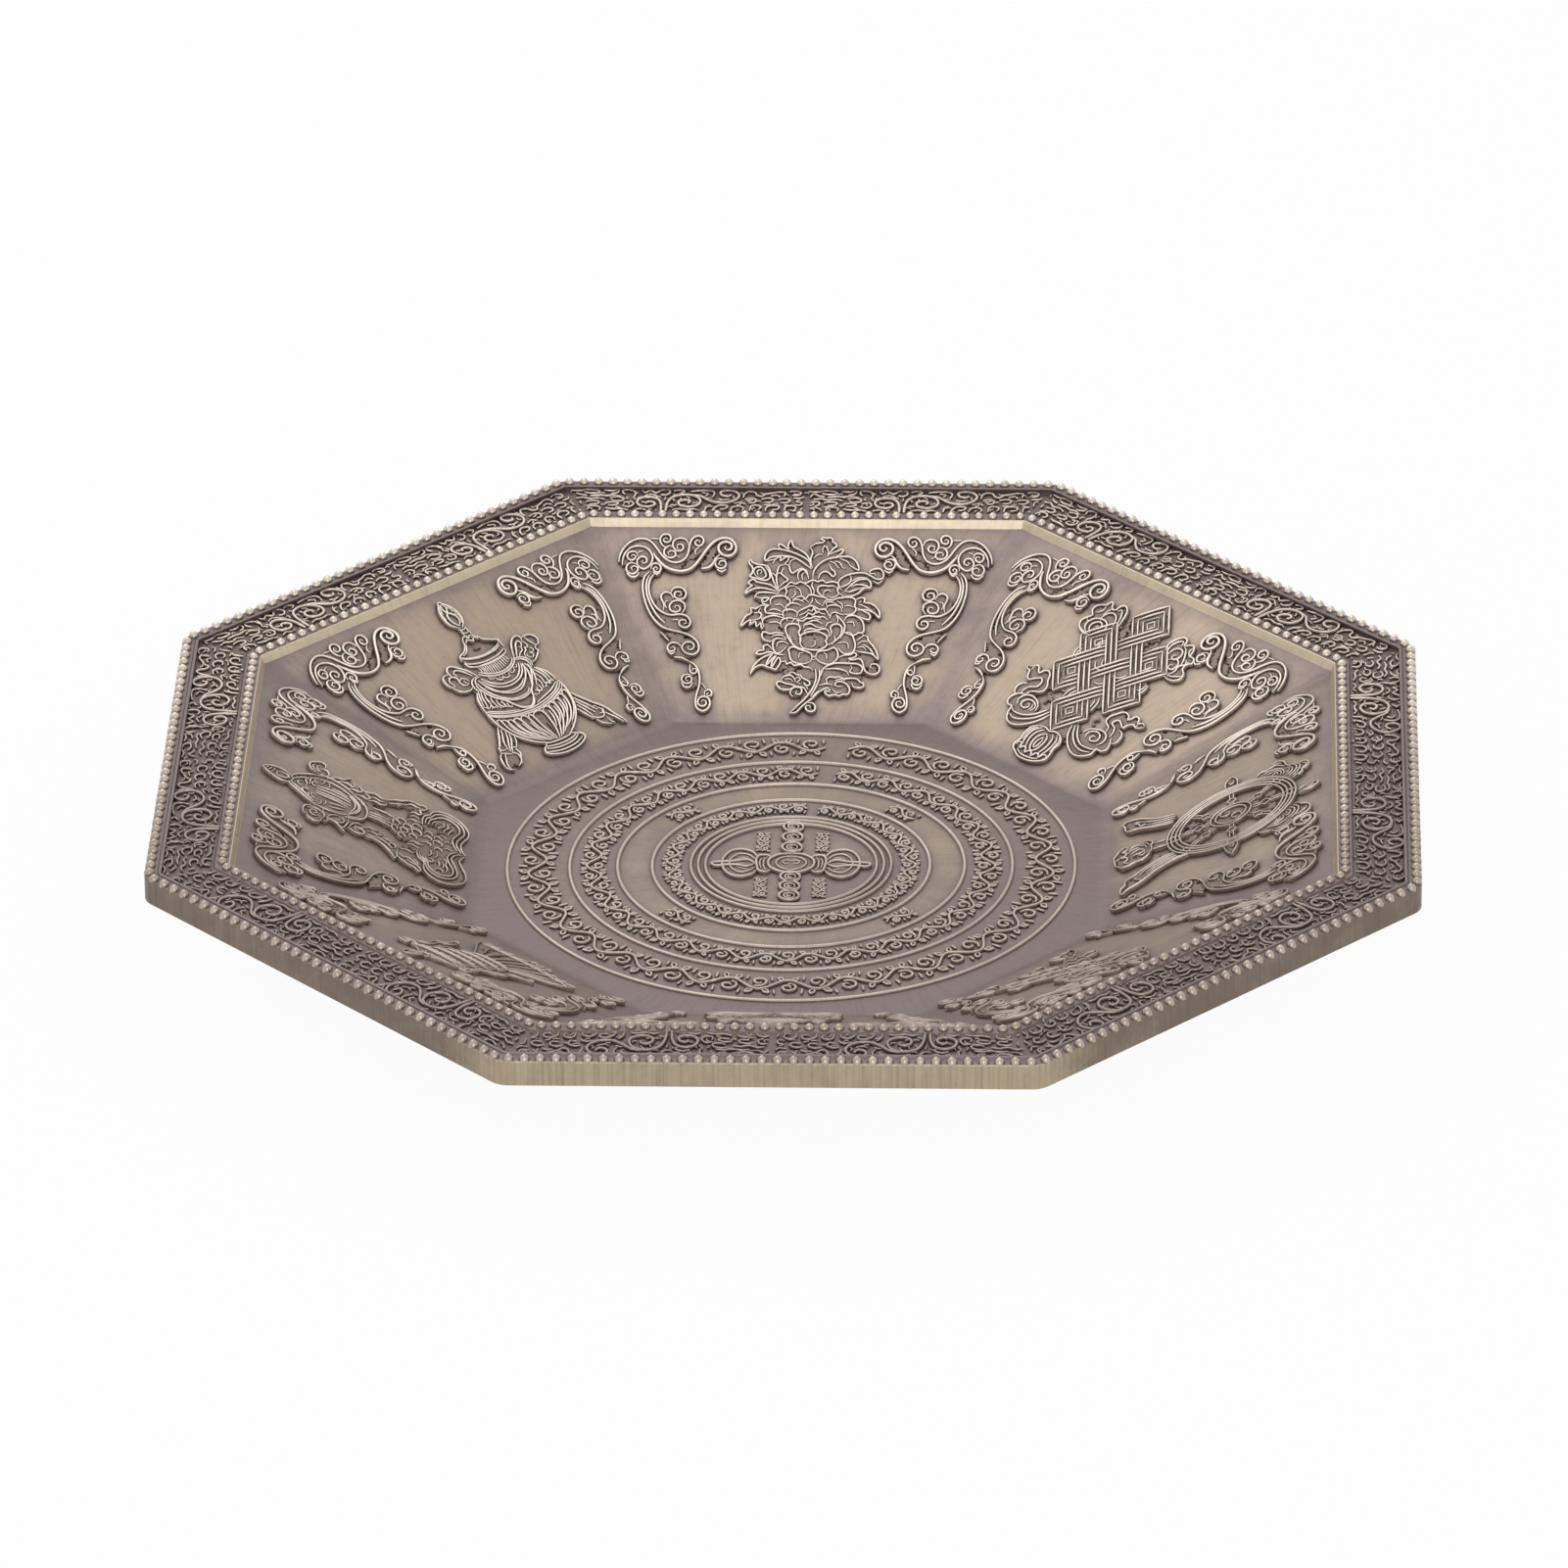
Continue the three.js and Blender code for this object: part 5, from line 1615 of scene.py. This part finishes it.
def endless_band():
    """The one closed band of the knot, over and under by turns, and the squares in its loops."""
    corners = [(2, -2), (1, -2), (1, 2), (0, 2), (0, -2), (-1, -2), (-1, 2), (-2, 2), (-2, 1),
               (2, 1), (2, 0), (-2, 0), (-2, -1), (2, -1)]

    def spot(p, q):
        return KNOT_MIDDLE[0] + (p + q) * KNOT_STEP[0], KNOT_MIDDLE[1] + (p - q) * KNOT_STEP[1]

    def unit(a, b):
        return (b[0] > a[0]) - (b[0] < a[0]), (b[1] > a[1]) - (b[1] < a[1])

    lines = []
    for index, b in enumerate(corners):
        a, c = corners[index - 1], corners[(index + 1) % len(corners)]
        before = unit(corners[index - 2], a)
        along, after = unit(a, b), unit(b, c)
        for side in (-KNOT_BAND, 0, KNOT_BAND):
            start = [a[k] + side * (before[k - 1] + along[k - 1]) * (1 - 2 * k) for k in (0, 1)]
            end = [b[k] + side * (along[k - 1] + after[k - 1]) * (1 - 2 * k) for k in (0, 1)]
            cuts = [start]
            level = 0 if along[0] else 1
            step = along[level]
            for crossing in range(a[level] + step, b[level], step):
                under = (crossing + a[1 - level] + level) % 2
                if under:
                    for reach in (-KNOT_GAP, KNOT_GAP):
                        cut = list(end)
                        cut[level] = crossing + step * reach
                        cuts.append(cut)
            cuts.append(end)
            for first, last in zip(cuts[::2], cuts[1::2]):
                lines.append((False, [spot(*first), spot(*last)]))
    for p, q in ((1.5, -1.5), (-0.5, -1.5), (1.5, 0.5), (-1.5, -0.5), (0.5, 1.5), (-1.5, 1.5)):
        for half in (0.3, 0.14):
            lines += joined_corners([spot(p + half * i, q + half * j)
                                     for i, j in ((-1, -1), (1, -1), (1, 1), (-1, 1))])
    return lines


def wheel_and_spokes():
    """Rim, hub and eight knobbed spokes of the wheel."""
    x, y = WHEEL_MIDDLE
    lines = [(False, oval(x, y, across, across * 1.2)) for across in WHEEL_RIMS]
    lines += [(False, oval(x - 12, y - 3, across, across * 1.18)) for across in WHEEL_HUB]
    lines += [(False, list(curl(x - 12 + 24 * hand, y - 3 + 22 * hand, 34, 90 - 90 * hand, 400, 0.3)))
              for hand in (-1, 1)]
    for spoke in range(8):
        turn = math.radians(45 * spoke + (0, 6, 0, -6)[spoke % 4])
        out = Vector((math.cos(turn), 1.2 * math.sin(turn)))
        across = Vector((-math.sin(turn), math.cos(turn)))
        middle = Vector((x - 6, y))
        for half in (-9, 9):
            for near, far in WHEEL_SPOKES:
                lines.append((False, [tuple(middle + out * near + across * half),
                                      tuple(middle + out * far + across * half)]))
        knob = middle + out * 132
        lines += joined_corners([knob + out * 24, knob + across * 24, knob - out * 24, knob - across * 24])
        plaque = Vector((x, y)) + out * 231
        lines += joined_corners([plaque + out * i * 22 + across * j * 20
                                 for i, j in ((1, 1), (1, -1), (-1, -1), (-1, 1))])
    return lines


def fish(spine, hand):
    """Rows of one upright fish along its spine: edges, snout, gills, eyes and scales."""
    spine = [Vector(spot) for spot in spine]
    ahead = [(b - a).normalized() for a, b in zip(spine[:1] + spine, spine[1:] + spine[-1:])]
    across = [Vector((-way.y, way.x)) * half for way, half in zip(ahead, FISH_HALF_WIDTHS)]
    left = [spot + reach for spot, reach in zip(spine, across)]
    right = [spot - reach for spot, reach in zip(spine, across)]
    lines = [left, right, [left[0], spine[0] + Vector((-4, -22)), right[0]]]
    for gill, droop in ((3, 34), (2, 42)):
        lines.append([left[gill], spine[gill] + Vector((0, droop)), right[gill]])
    for eye, start in ((-hand, 0), (hand, 180)):
        lines.append([(*(spine[1] + Vector((26 * eye, 22))), 20, start, 400 - 800 * (start > 0), 0.5)])
    for here in range(4, 10):
        half_way = (spine[here + 1] - spine[here]) / 2
        for edge in (left[here], right[here]):
            lines.append([edge, (edge + spine[here]) / 2 + half_way, spine[here]])
    return [(False, line) for line in lines]


def leaf(x, y, turn, length, width):
    """A pointed leaf: two bowed lines."""
    ahead = Vector((math.cos(turn), math.sin(turn))) * length
    aside = Vector((-math.sin(turn), math.cos(turn))) * width
    foot = Vector((x, y))
    return [(False, [tuple(foot), tuple(foot + ahead * 0.45 + aside * bow), tuple(foot + ahead)])
            for bow in (-0.5, 0.5)]


def tendrils(hand, half_height, length):
    """A vine along a straight run: a waving stem, a curl in each bend, leaves and dashes between."""
    bends = max(2, round(length / (half_height * 1.45)))
    pitch = length / bends
    stem = [(step * pitch / 4, 0.45 * half_height * math.sin(math.pi * step / 4))
            for step in range(4 * bends + 1)]
    lines = [(False, stem)]
    for bend in range(bends):
        middle, side = (bend + 0.5) * pitch, 1 - 2 * (bend % 2)
        size = half_height * hand.uniform(0.9, 1.05)
        turned = 90 * side + hand.uniform(-30, 30)
        lines.append((False, list(curl(middle, -side * size * 0.3, size * 0.48, turned,
                                       side * hand.uniform(400, 480), 0.25))))
        for lean in (-1, 1):
            foot = (middle + lean * pitch * 0.16, side * size * 0.48)
            way = math.pi / 2 * side - lean * side * hand.uniform(0.3, 0.9)
            lines += leaf(*foot, way, size * 0.5, size * 0.26)
            dash = middle + lean * pitch * hand.uniform(0.36, 0.44)
            lines.append((False, [(dash, -side * size * 0.95),
                                  (dash + lean * size * 0.06, -side * size * hand.uniform(0.4, 0.6))]))
    return lines


def bent(lines, radius, start):
    """Lines of a straight run bent round a circle, clockwise from a start angle."""
    return [(bold, [((radius + y) * math.sin(start + x / radius),
                     (radius + y) * math.cos(start + x / radius)) for x, y in points])
            for bold, points in lines]


def upright(lines, right, foot):
    """Lines of a straight run stood on end."""
    return [(bold, [(right - y, foot + x) for x, y in points]) for bold, points in lines]


def ringed_disc(y):
    """One disc of a chain: a rim, a ring inside it and a comma in its middle."""
    rim, ring, comma = DISC_REACHES
    return [(True, oval(0, y, rim, rim, steps=16)), (False, oval(0, y, ring, ring, steps=10)),
            (False, list(curl(0, y, comma, 90, 300, 0.3)))]


# Finishes

class Wire:
    """A socket used in an expression; each operator adds its Math node."""

    def __init__(self, finish, socket):
        self.finish, self.socket = finish, socket

    def math(self, operation, *others):
        values = {index + 1: other for index, other in enumerate(others)}
        return self.finish.node("ShaderNodeMath", {"operation": operation}, {0: self, **values})

    def __add__(self, other):
        return self.math("ADD", other)

    def __mul__(self, other):
        return self.math("MULTIPLY", other)

    def __sub__(self, other):
        return self.math("SUBTRACT", other)

    def __rsub__(self, other):
        return self.finish.node("ShaderNodeMath", {"operation": "SUBTRACT"}, {0: other, 1: self})

    def __pow__(self, other):
        return self.math("POWER", other)

    __radd__, __rmul__ = __add__, __mul__

    def between(self, low, high):
        """0 below low, 1 above high, smooth in between."""
        return self.finish.node("ShaderNodeMapRange", {"interpolation_type": "SMOOTHSTEP"},
                                {0: self, 1: low, 2: high, 3: 0.0, 4: 1.0})


class Finish:
    """A material and the nodes that make it."""

    def __init__(self, name):
        self.material = bpy.data.materials.new(name)
        self.material.use_nodes = True
        self.tree = self.material.node_tree
        self.shader = self.tree.nodes["Principled BSDF"]
        self.place = self.node("ShaderNodeTexCoord", {}, {}, "Object")

    def node(self, kind, settings, values, output=0):
        made = self.tree.nodes.new(kind)
        for name, value in settings.items():
            if name == "stops":
                ramp = made.color_ramp
                while len(ramp.elements) < len(value):
                    ramp.elements.new(0.5)
                for element, (position, colour) in zip(ramp.elements, value):
                    element.position, element.color = position, (*colour, 1)
            else:
                setattr(made, name, value)
        for key, value in values.items():
            if isinstance(value, Wire):
                self.tree.links.new(value.socket, made.inputs[key])
            else:
                made.inputs[key].default_value = value
        return Wire(self, made.outputs[output])

    def noise(self, scale, detail=3.0, rough=0.5, stretch=None):
        place = self.place
        if stretch:
            place = self.node("ShaderNodeMapping", {}, {"Vector": place, "Scale": stretch})
        return self.node("ShaderNodeTexNoise", {},
                         {"Vector": place, "Scale": scale, "Detail": detail, "Roughness": rough})

    def mix(self, share, first, second):
        colours = {6: rgba(first), 7: rgba(second)}
        return self.node("ShaderNodeMix", {"data_type": "RGBA"}, {0: share, **colours}, 2)

    def closeness(self, distance):
        """1 in the open, towards 0 where other metal stands within the distance."""
        return self.node("ShaderNodeAmbientOcclusion", {"samples": 8},
                         {"Distance": distance * MM}, "AO")

    def bump(self, height, strength, distance):
        normal = self.node("ShaderNodeBump", {},
                           {"Height": height, "Strength": strength, "Distance": distance * MM})
        self.tree.links.new(normal.socket, self.shader.inputs["Normal"])

    def feed(self, **values):
        for name, value in values.items():
            socket = self.shader.inputs[name.replace("_", " ")]
            if isinstance(value, Wire):
                self.tree.links.new(value.socket, socket)
            else:
                socket.default_value = value


def rgba(colour):
    return colour if isinstance(colour, Wire) else (*colour, 1)


def tone(red, green, blue):
    """A colour as the eye names it, 0 to 255, in the light's own scale."""
    return tuple((c / 255) ** 2.2 for c in (red, green, blue))


def across_tray(finish):
    """Place on the tray in millimetres: x, y and the reach from its middle."""
    x, y = (finish.node("ShaderNodeSeparateXYZ", {}, {0: finish.place}, axis) * (1 / MM)
            for axis in (0, 1))
    return x, y, (x * x + y * y) ** 0.5


def wear_and_painted_light(finish):
    """1 where hands and cloths wear the bronze bare, and where light is painted on: the middles of the sides
    and of the floor's plain rings; the sides also carry painted light towards the back and right and painted
    shade near their edges.
    """
    x, y, reach = across_tray(finish)
    square = x.math("ABSOLUTE").math("MAXIMUM", y.math("ABSOLUTE"))
    diamond = (x.math("ABSOLUTE") + y.math("ABSOLUTE")) * math.sqrt(0.5)
    apothem = square.math("MAXIMUM", diamond)
    from_mitre = (square - diamond).math("ABSOLUTE") * (0.5 / math.sin(HALF_TURN))
    # Painted light and shade on the sides: lighter towards the back and right, where more light is reflected,
    # and darker near the mitres, under the lip and at the floor's crease.
    side = (from_mitre.between(-4, 6) * (PANEL_TOP_APOTHEM - apothem).between(-5, 6)
            * (apothem - FLOOR_APOTHEM).between(-2, 5) * ((y + x * 0.35).between(-70, 30) * 0.5 + 0.5))
    plain_ring = 1 - (reach - TENDRIL_GROUP_RADIUS).math("ABSOLUTE").between(0.5, 3.2)
    middle = (BOSS_RADII[2] - reach).between(0, 5)
    field = 1 - (reach - FIELD_RADII[0]).between(-3, 3)
    return side.math("MAXIMUM", field * 0.4 + plain_ring * 0.25 + middle * 0.25)


def combed(finish, fineness):
    """Fine lines that run out from the middle, as a file or a brush leaves on the sides."""
    x, y, reach = across_tray(finish)
    ahead = x * math.cos(HALF_TURN) + y * math.sin(HALF_TURN)
    aside = y * math.cos(HALF_TURN) - x * math.sin(HALF_TURN)
    bearing = aside.math("ARCTAN2", ahead)
    line = finish.node("ShaderNodeCombineXYZ", {}, {0: bearing * 55 + reach * 0.12, 1: reach * 0.05})
    return finish.node("ShaderNodeTexNoise", {},
                       {"Vector": line, "Scale": fineness, "Detail": 3.0, "Roughness": 0.65})


def bronze(name, golden, violet, recess_tone, gloss=0.42, grain=1.0, age=0.4, groove=0.8, metal=0.75,
           wear_and_light_mask=None, streaks=None, depth=(0.2, 0.85), front_shade=0.2, halo_patina_and_shade_weight=3.0):
    """Aged cast bronze: golden where worn and where light is painted on, violet-grey elsewhere with patina
    and painted shade, dark in recesses with patina and painted shade.
    """
    finish = Finish(name)
    cloud = finish.noise(55, 4, 0.6)
    speck = finish.noise(900, 3, 0.6)
    brush = finish.noise(1, 3, 0.7, (160, 2600, 2600))
    cross = combed(finish, 2.2)
    # Partly patina round raised work and partly painted shade: violet-grey where other metal stands within
    # 3.5 mm.
    halo_patina_and_shade = 1 - finish.closeness(3.5)
    mottle = finish.noise(240, 4, 0.65)
    patina_and_painted_light = age + (cloud - 0.5) * 0.9 + (mottle - 0.5) * 0.8 + halo_patina_and_shade * halo_patina_and_shade_weight
    y = across_tray(finish)[1]
    # Painted shade: the colour goes violet-grey towards the front of the tray.
    patina_and_painted_light = patina_and_painted_light + (0 - y).between(-38, 30) * front_shade
    if streaks:
        patina_and_painted_light = patina_and_painted_light + y.between(-RIM_APOTHEM, -72) * 0.7
    if wear_and_light_mask:
        patina_and_painted_light = patina_and_painted_light - wear_and_light_mask(finish)
    body = finish.mix(patina_and_painted_light.between(0.0, 1.0), golden, violet)
    body = finish.mix((speck.between(0.5, 0.8) + brush.between(0.5, 0.75) * 0.3) * 0.1
                      + cross.between(0.45, 0.75) * 0.2, body, recess_tone)
    # Partly patina in hollows and partly painted shade: dark where other metal stands within the groove
    # distance, as under each raised line.
    hollow_patina_and_shade = (1 - finish.closeness(groove)).between(*depth)
    if streaks:
        body = finish.mix(finish.noise(1, 4, 0.7, streaks).between(0.42, 0.75) * 0.4, body, recess_tone)
    body = finish.mix(hollow_patina_and_shade, body, recess_tone)
    finish.feed(Base_Color=body, Metallic=metal,
                Roughness=gloss + (speck - 0.5) * 0.16 + (cloud - 0.5) * 0.12 + hollow_patina_and_shade * 0.2)
    finish.bump(brush * 0.2 + cross * 0.35 + speck * 0.5 + cloud * 0.8, 0.25 * grain, 0.05)
    return finish.material


CAST = bronze("cast_bronze", tone(166, 149, 131), tone(127, 114, 112), tone(72, 60, 57), age=0.95,
              groove=1.0, depth=(0.14, 0.7), wear_and_light_mask=wear_and_painted_light)
SKIRT = bronze("brushed_skirt_bronze", tone(180, 164, 139), tone(122, 109, 98), tone(88, 76, 67),
               gloss=0.4, grain=1.4, age=0.15, groove=0.5, streaks=(2600, 2600, 60), front_shade=0.0)
RUBBED = bronze("rubbed_line_bronze", tone(236, 224, 211), tone(166, 152, 142), tone(98, 86, 80),
                gloss=0.34, grain=0.5, age=0.05, groove=0.25, front_shade=0.7, halo_patina_and_shade_weight=0.8)
BEADED = bronze("beaded_bronze", tone(230, 218, 202), tone(170, 156, 144), tone(66, 56, 52),
                gloss=0.26, grain=0.5, age=0.15, groove=0.7, front_shade=0.6, halo_patina_and_shade_weight=1.5)
# Partly the polish of their edges and partly painted light: the relief plates' walls, which face the camera,
# are pale and only slightly metallic, as if lit.
LIT_AND_POLISHED_WALLS = bronze("lit_and_polished_relief_wall_bronze", tone(226, 212, 190), tone(168, 153, 140), tone(120, 104, 94),
               gloss=0.42, grain=0.4, age=0.2, groove=0.15, metal=0.3, front_shade=0.7, halo_patina_and_shade_weight=0.8)
ENGRAVED = bronze("engraved_ground_bronze", tone(140, 126, 115), tone(126, 112, 106), tone(36, 29, 27),
                  gloss=0.5, grain=0.8, age=0.3, groove=0.55, depth=(0.05, 0.42))
CHASED = bronze("chased_bronze", tone(216, 202, 186), tone(176, 162, 153), tone(88, 75, 71),
                gloss=0.38, grain=0.5, age=0.35, groove=0.3)
FRIEZE_LINE = bronze("frieze_line_bronze", tone(232, 218, 202), tone(156, 142, 134), tone(88, 75, 70),
                     gloss=0.36, grain=0.5, age=0.15, groove=0.3, front_shade=0.85, halo_patina_and_shade_weight=1.2)
CHANNEL = bronze("channel_ground_bronze", tone(132, 119, 113), tone(110, 98, 95), tone(66, 56, 54),
                 gloss=0.5, grain=1.0, age=0.5, groove=0.6)
LIP = bronze("bright_lip_bronze", tone(214, 198, 172), tone(188, 172, 152), tone(120, 104, 90),
             gloss=0.38, grain=0.8, age=0.0, groove=0.3)


# Putting it together

dish = cast_dish(CAST)
for order, (finish, belongs) in enumerate(((LIP, in_lip), (CHANNEL, in_channel), (SKIRT, on_skirt))):
    dish.data.materials.append(finish)
    second_finish(dish, belongs, order + 1)
bead_row("outer_beads", BEAD_APOTHEM, CORNER_RADIUS - RIM_APOTHEM + BEAD_APOTHEM, RIM_TOP,
         "outer_beaded_strip", **OUTER_BEADS)
bead_row("inner_beads", INNER_BEAD_APOTHEM, INNER_BEAD_APOTHEM - MOUTH_APOTHEM, LIP_TOP,
         "inner_beaded_strip", **INNER_BEADS)
for order, ring_radius in enumerate(FIELD_RADII):
    floor_ring(f"ring_{order + 1}", ring_radius, *FIELD_RING, f"field_ring_{order + 1}")
boss = [floor_ring(f"boss_ring_{order}", ring_radius, *BOSS_RING)
        for order, ring_radius in enumerate(BOSS_RADII)]
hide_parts("boss_triple_ring")


def raised(name, lines, place, slot, node, radius=LINE_RADIUS, material=RUBBED):
    """A relief: its plate and the lines that stand on it."""
    plate = plate_under(f"{name}_plate", lines)
    tops = [face.normal.z > 0.7 for face in plate.data.polygons]
    lay(plate, place)
    # The plate's walls take the pale finish with its painted light; its tops take the engraved ground.
    dressed(plate, LIT_AND_POLISHED_WALLS, slot, node)
    plate.data.materials.append(ENGRAVED)
    second_finish(plate, lambda face: tops[face.index], 1)
    wire = wires(f"{name}_lines", lines, radius, LINE_TOP - radius, LINE_SPACING, LINE_TAPER,
                 LINE_TOP - 2 * radius)
    lay(wire, place)
    smooth(wire, 60)
    dressed(wire, material, slot, node)


def standing(name, lines, place, material, slot, wire_size, *nodes):
    """Lines that stand on bare ground without a plate; the wire has a radius and a height."""
    wire = wires(name, lines, *wire_size, WIRE_SPACING, WIRE_TAPER)
    lay(wire, place)
    smooth(wire, 60)
    return dressed(wire, material, slot, *nodes)


CORNER_SCROLL = moved(on_sheet(drawn(SCROLL), SCROLL_SHEET_MIDDLE, SHEET_FOOT),
                      -MITRE_AT_MIDDLE / DRAWING_UNIT)
TWO_FISH = [row for spine, hand in zip(drawn(FISH_SPINES), (1, -1)) for row in fish(spine[1], hand)]
EMBLEMS = {
    "wheel_of_law": as_seen(drawn(WHEEL), 0) + wheel_and_spokes(),
    "endless_knot": as_seen(drawn(KNOT), 1, KNOT_SHEET_MIDDLE) + endless_band(),
    "lotus_flower": as_seen(drawn(LOTUS), 2),
    "treasure_vase": as_seen(drawn(VASE), 3),
    "parasol": as_seen(drawn(PARASOL), 4),
    "victory_banner": as_seen(drawn(BANNER), 5, pressed=0.9, held=1320),
    "conch_shell": on_sheet(drawn(CONCH), SHEET_MIDDLE, SHEET_FOOT),
    "golden_fish": as_seen(TWO_FISH + drawn(FISH), 7, pressed=0.888, held=1310),
}
for side, (side_name, emblem) in enumerate(zip(SIDE_NAMES, EMBLEM_NAMES)):
    place = panel_place(side)
    for hand, lines in (("left", CORNER_SCROLL), ("right", mirrored(CORNER_SCROLL))):
        raised(f"{hand}_corner_scroll_{side_name}", lines, place, "relief",
               f"{hand}_scroll_{side_name}", SCROLL_RADIUS)
    raised(emblem, EMBLEMS[emblem], place, "relief", f"{emblem}_emblem")

FRIEZE_GROUP = on_sheet(drawn(FRIEZE), FRIEZE_SHEET_MIDDLE, FRIEZE_SHEET_FOOT, FRIEZE_SHEET_STEP)
GROUP = filled_in(FRIEZE_GROUP, random.Random(5))
for side, side_name in enumerate(SIDE_NAMES):
    turn = Matrix.Rotation(2 * HALF_TURN * side - math.pi / 2, 4, "Z")
    place = turn @ Matrix.Translation(Vector((0, CHANNEL_INNER, CHANNEL_FLOOR)) * MM)
    for hand, middle in zip(("left", "right"), FRIEZE_MIDDLES):
        lines = within_mitres(moved(GROUP, middle / DRAWING_UNIT))
        standing(f"{hand}_frieze_lines_{side_name}", lines, place, FRIEZE_LINE, "frieze", FRIEZE_WIRE,
                 f"frieze_scroll_{side_name}_{hand}")

floor_place = Matrix.Translation(Vector((0, 0, FLOOR_TOP)) * MM)
strewn = random.Random(8)
for order, (radius, half_height) in enumerate(TENDRIL_BANDS):
    reach = radius / DRAWING_UNIT
    run = tendrils(strewn, half_height / DRAWING_UNIT, 1.97 * math.pi * reach)
    standing(f"tendril_band_{order + 1}", bent(run, reach, 0.2), floor_place, CHASED, "field", BAND_WIRE)
for order in range(TENDRIL_GROUPS):
    run = tendrils(strewn, TENDRIL_GROUP_HALF_HEIGHT / DRAWING_UNIT, TENDRIL_GROUP_LENGTH / DRAWING_UNIT)
    turn = math.tau / TENDRIL_GROUPS * order + TENDRIL_GROUP_TURN
    group = bent(run, TENDRIL_GROUP_RADIUS / DRAWING_UNIT, turn)
    standing(f"tendril_group_{order + 1}", group, floor_place, CHASED, "field", BAND_WIRE)
for order, (right, foot) in enumerate(BOSS_TENDRIL_FEET):
    run = tendrils(strewn, BOSS_TENDRIL_HALF_HEIGHT / DRAWING_UNIT, BOSS_TENDRIL_LENGTH / DRAWING_UNIT)
    stood = upright(run, right / DRAWING_UNIT, foot / DRAWING_UNIT)
    standing(f"boss_tendrils_{order + 1}", stood, floor_place, CHASED, "field", BOSS_WIRE)
half = on_sheet(drawn(SCEPTRE), SCEPTRE_SHEET_MIDDLE, SCEPTRE_SHEET_FOOT, SCEPTRE_SHEET_STEP)
flattened = Matrix.Diagonal((1, 1, VAJRA_FLATTENED, 1))
raised("double_vajra", half + mirrored(half), floor_place @ flattened, "field", "double_vajra",
       material=CHASED)
for chain, spots in CHAIN_DISCS.items():
    lines = [line for y in spots for line in ringed_disc(y)]
    standing(f"disc_chain_{chain}", lines, floor_place, CHASED, "field", CHAIN_WIRE,
             f"disc_chain_{chain}")

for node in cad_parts.values():
    node.data.materials.clear()
    node.data.materials.append(CHASED)


# Floor, light and camera

def seen_white(tree):
    """1 for camera, mirror and see-through rays, 0 for the light that falls on the tray."""
    path = tree.nodes.new("ShaderNodeLightPath")
    first = tree.nodes.new("ShaderNodeMath")
    both = tree.nodes.new("ShaderNodeMath")
    first.operation = both.operation = "MAXIMUM"
    tree.links.new(path.outputs["Is Camera Ray"], first.inputs[0])
    tree.links.new(path.outputs["Is Glossy Ray"], first.inputs[1])
    tree.links.new(first.outputs[0], both.inputs[0])
    tree.links.new(path.outputs["Is Transmission Ray"], both.inputs[1])
    return both.outputs[0]


def table_top():
    """A pale table that is seen nearly white and keeps the tray's soft shadow."""
    clear_selection()
    bpy.ops.mesh.primitive_plane_add(size=6, location=(0, 0, -0.0002))
    floor = added("table_top")
    finish = Finish("table_white")
    grain = finish.noise(60, 3)
    finish.feed(Base_Color=finish.mix(grain * 0.04, (0.9, 0.9, 0.9), (0.86, 0.86, 0.86)), Roughness=0.8)
    tree = finish.tree
    glow = tree.nodes.new("ShaderNodeEmission")
    share = tree.nodes.new("ShaderNodeMath")
    share.operation = "MULTIPLY"
    share.inputs[1].default_value = 0.96
    tree.links.new(seen_white(tree), share.inputs[0])
    shade = tree.nodes.new("ShaderNodeMixShader")
    tree.links.new(share.outputs[0], shade.inputs[0])
    tree.links.new(finish.shader.outputs[0], shade.inputs[1])
    tree.links.new(glow.outputs[0], shade.inputs[2])
    tree.links.new(shade.outputs[0], tree.nodes["Material Output"].inputs[0])
    floor.data.materials.append(finish.material)


def white_world():
    """White to look at, and dimmer where it lights the tray."""
    world = bpy.data.worlds.new("studio")
    bpy.context.scene.world = world
    world.use_nodes = True
    tree = world.node_tree
    background = tree.nodes["Background"]
    background.inputs["Color"].default_value = (1, 1, 1, 1)
    level = tree.nodes.new("ShaderNodeMapRange")
    level.inputs[3].default_value = 0.45
    level.inputs[4].default_value = 1.0
    tree.links.new(seen_white(tree), level.inputs[0])
    tree.links.new(level.outputs[0], background.inputs["Strength"])


def soft_lamp(name, spot, size, watts):
    lamp = bpy.data.lights.new(name, "AREA")
    lamp.shape, lamp.size, lamp.energy = "DISK", size, watts
    holder = bpy.data.objects.new(name, lamp)
    bpy.context.scene.collection.objects.link(holder)
    holder.location = spot
    holder.rotation_euler = (-Vector(spot)).to_track_quat("-Z", "Y").to_euler()


def photographer():
    """The camera, a little turned about the way it looks, as the photograph's was."""
    back = camera_back()
    right = Vector((math.cos(CAMERA_TURN), math.sin(CAMERA_TURN), 0))
    up = back.cross(right)
    way = CAMERA_BACK * back + CAMERA_RIGHT * right + CAMERA_UP * up
    spot = Vector((0, 0, RIM_TOP * MM)) + CAMERA_REACH * MM * way
    across = math.cos(CAMERA_ROLL) * right - math.sin(CAMERA_ROLL) * up
    upward = math.sin(CAMERA_ROLL) * right + math.cos(CAMERA_ROLL) * up
    lens = bpy.data.cameras.new("camera")
    lens.lens, lens.sensor_width = CAMERA_LENS, CAMERA_FILM
    lens.clip_start, lens.clip_end = 0.1, 20
    holder = bpy.data.objects.new("camera", lens)
    bpy.context.scene.collection.objects.link(holder)
    facing = Matrix((across, upward, back)).transposed().to_4x4()
    holder.matrix_world = Matrix.Translation(spot) @ facing
    bpy.context.scene.camera = holder


table_top()
white_world()
soft_lamp("overhead", (-0.22, 0.3, 0.78), 1.0, 2.3)
soft_lamp("front", (0.1, -0.9, 0.45), 0.7, 1.8)
photographer()
bpy.context.scene.view_settings.view_transform = "Standard"
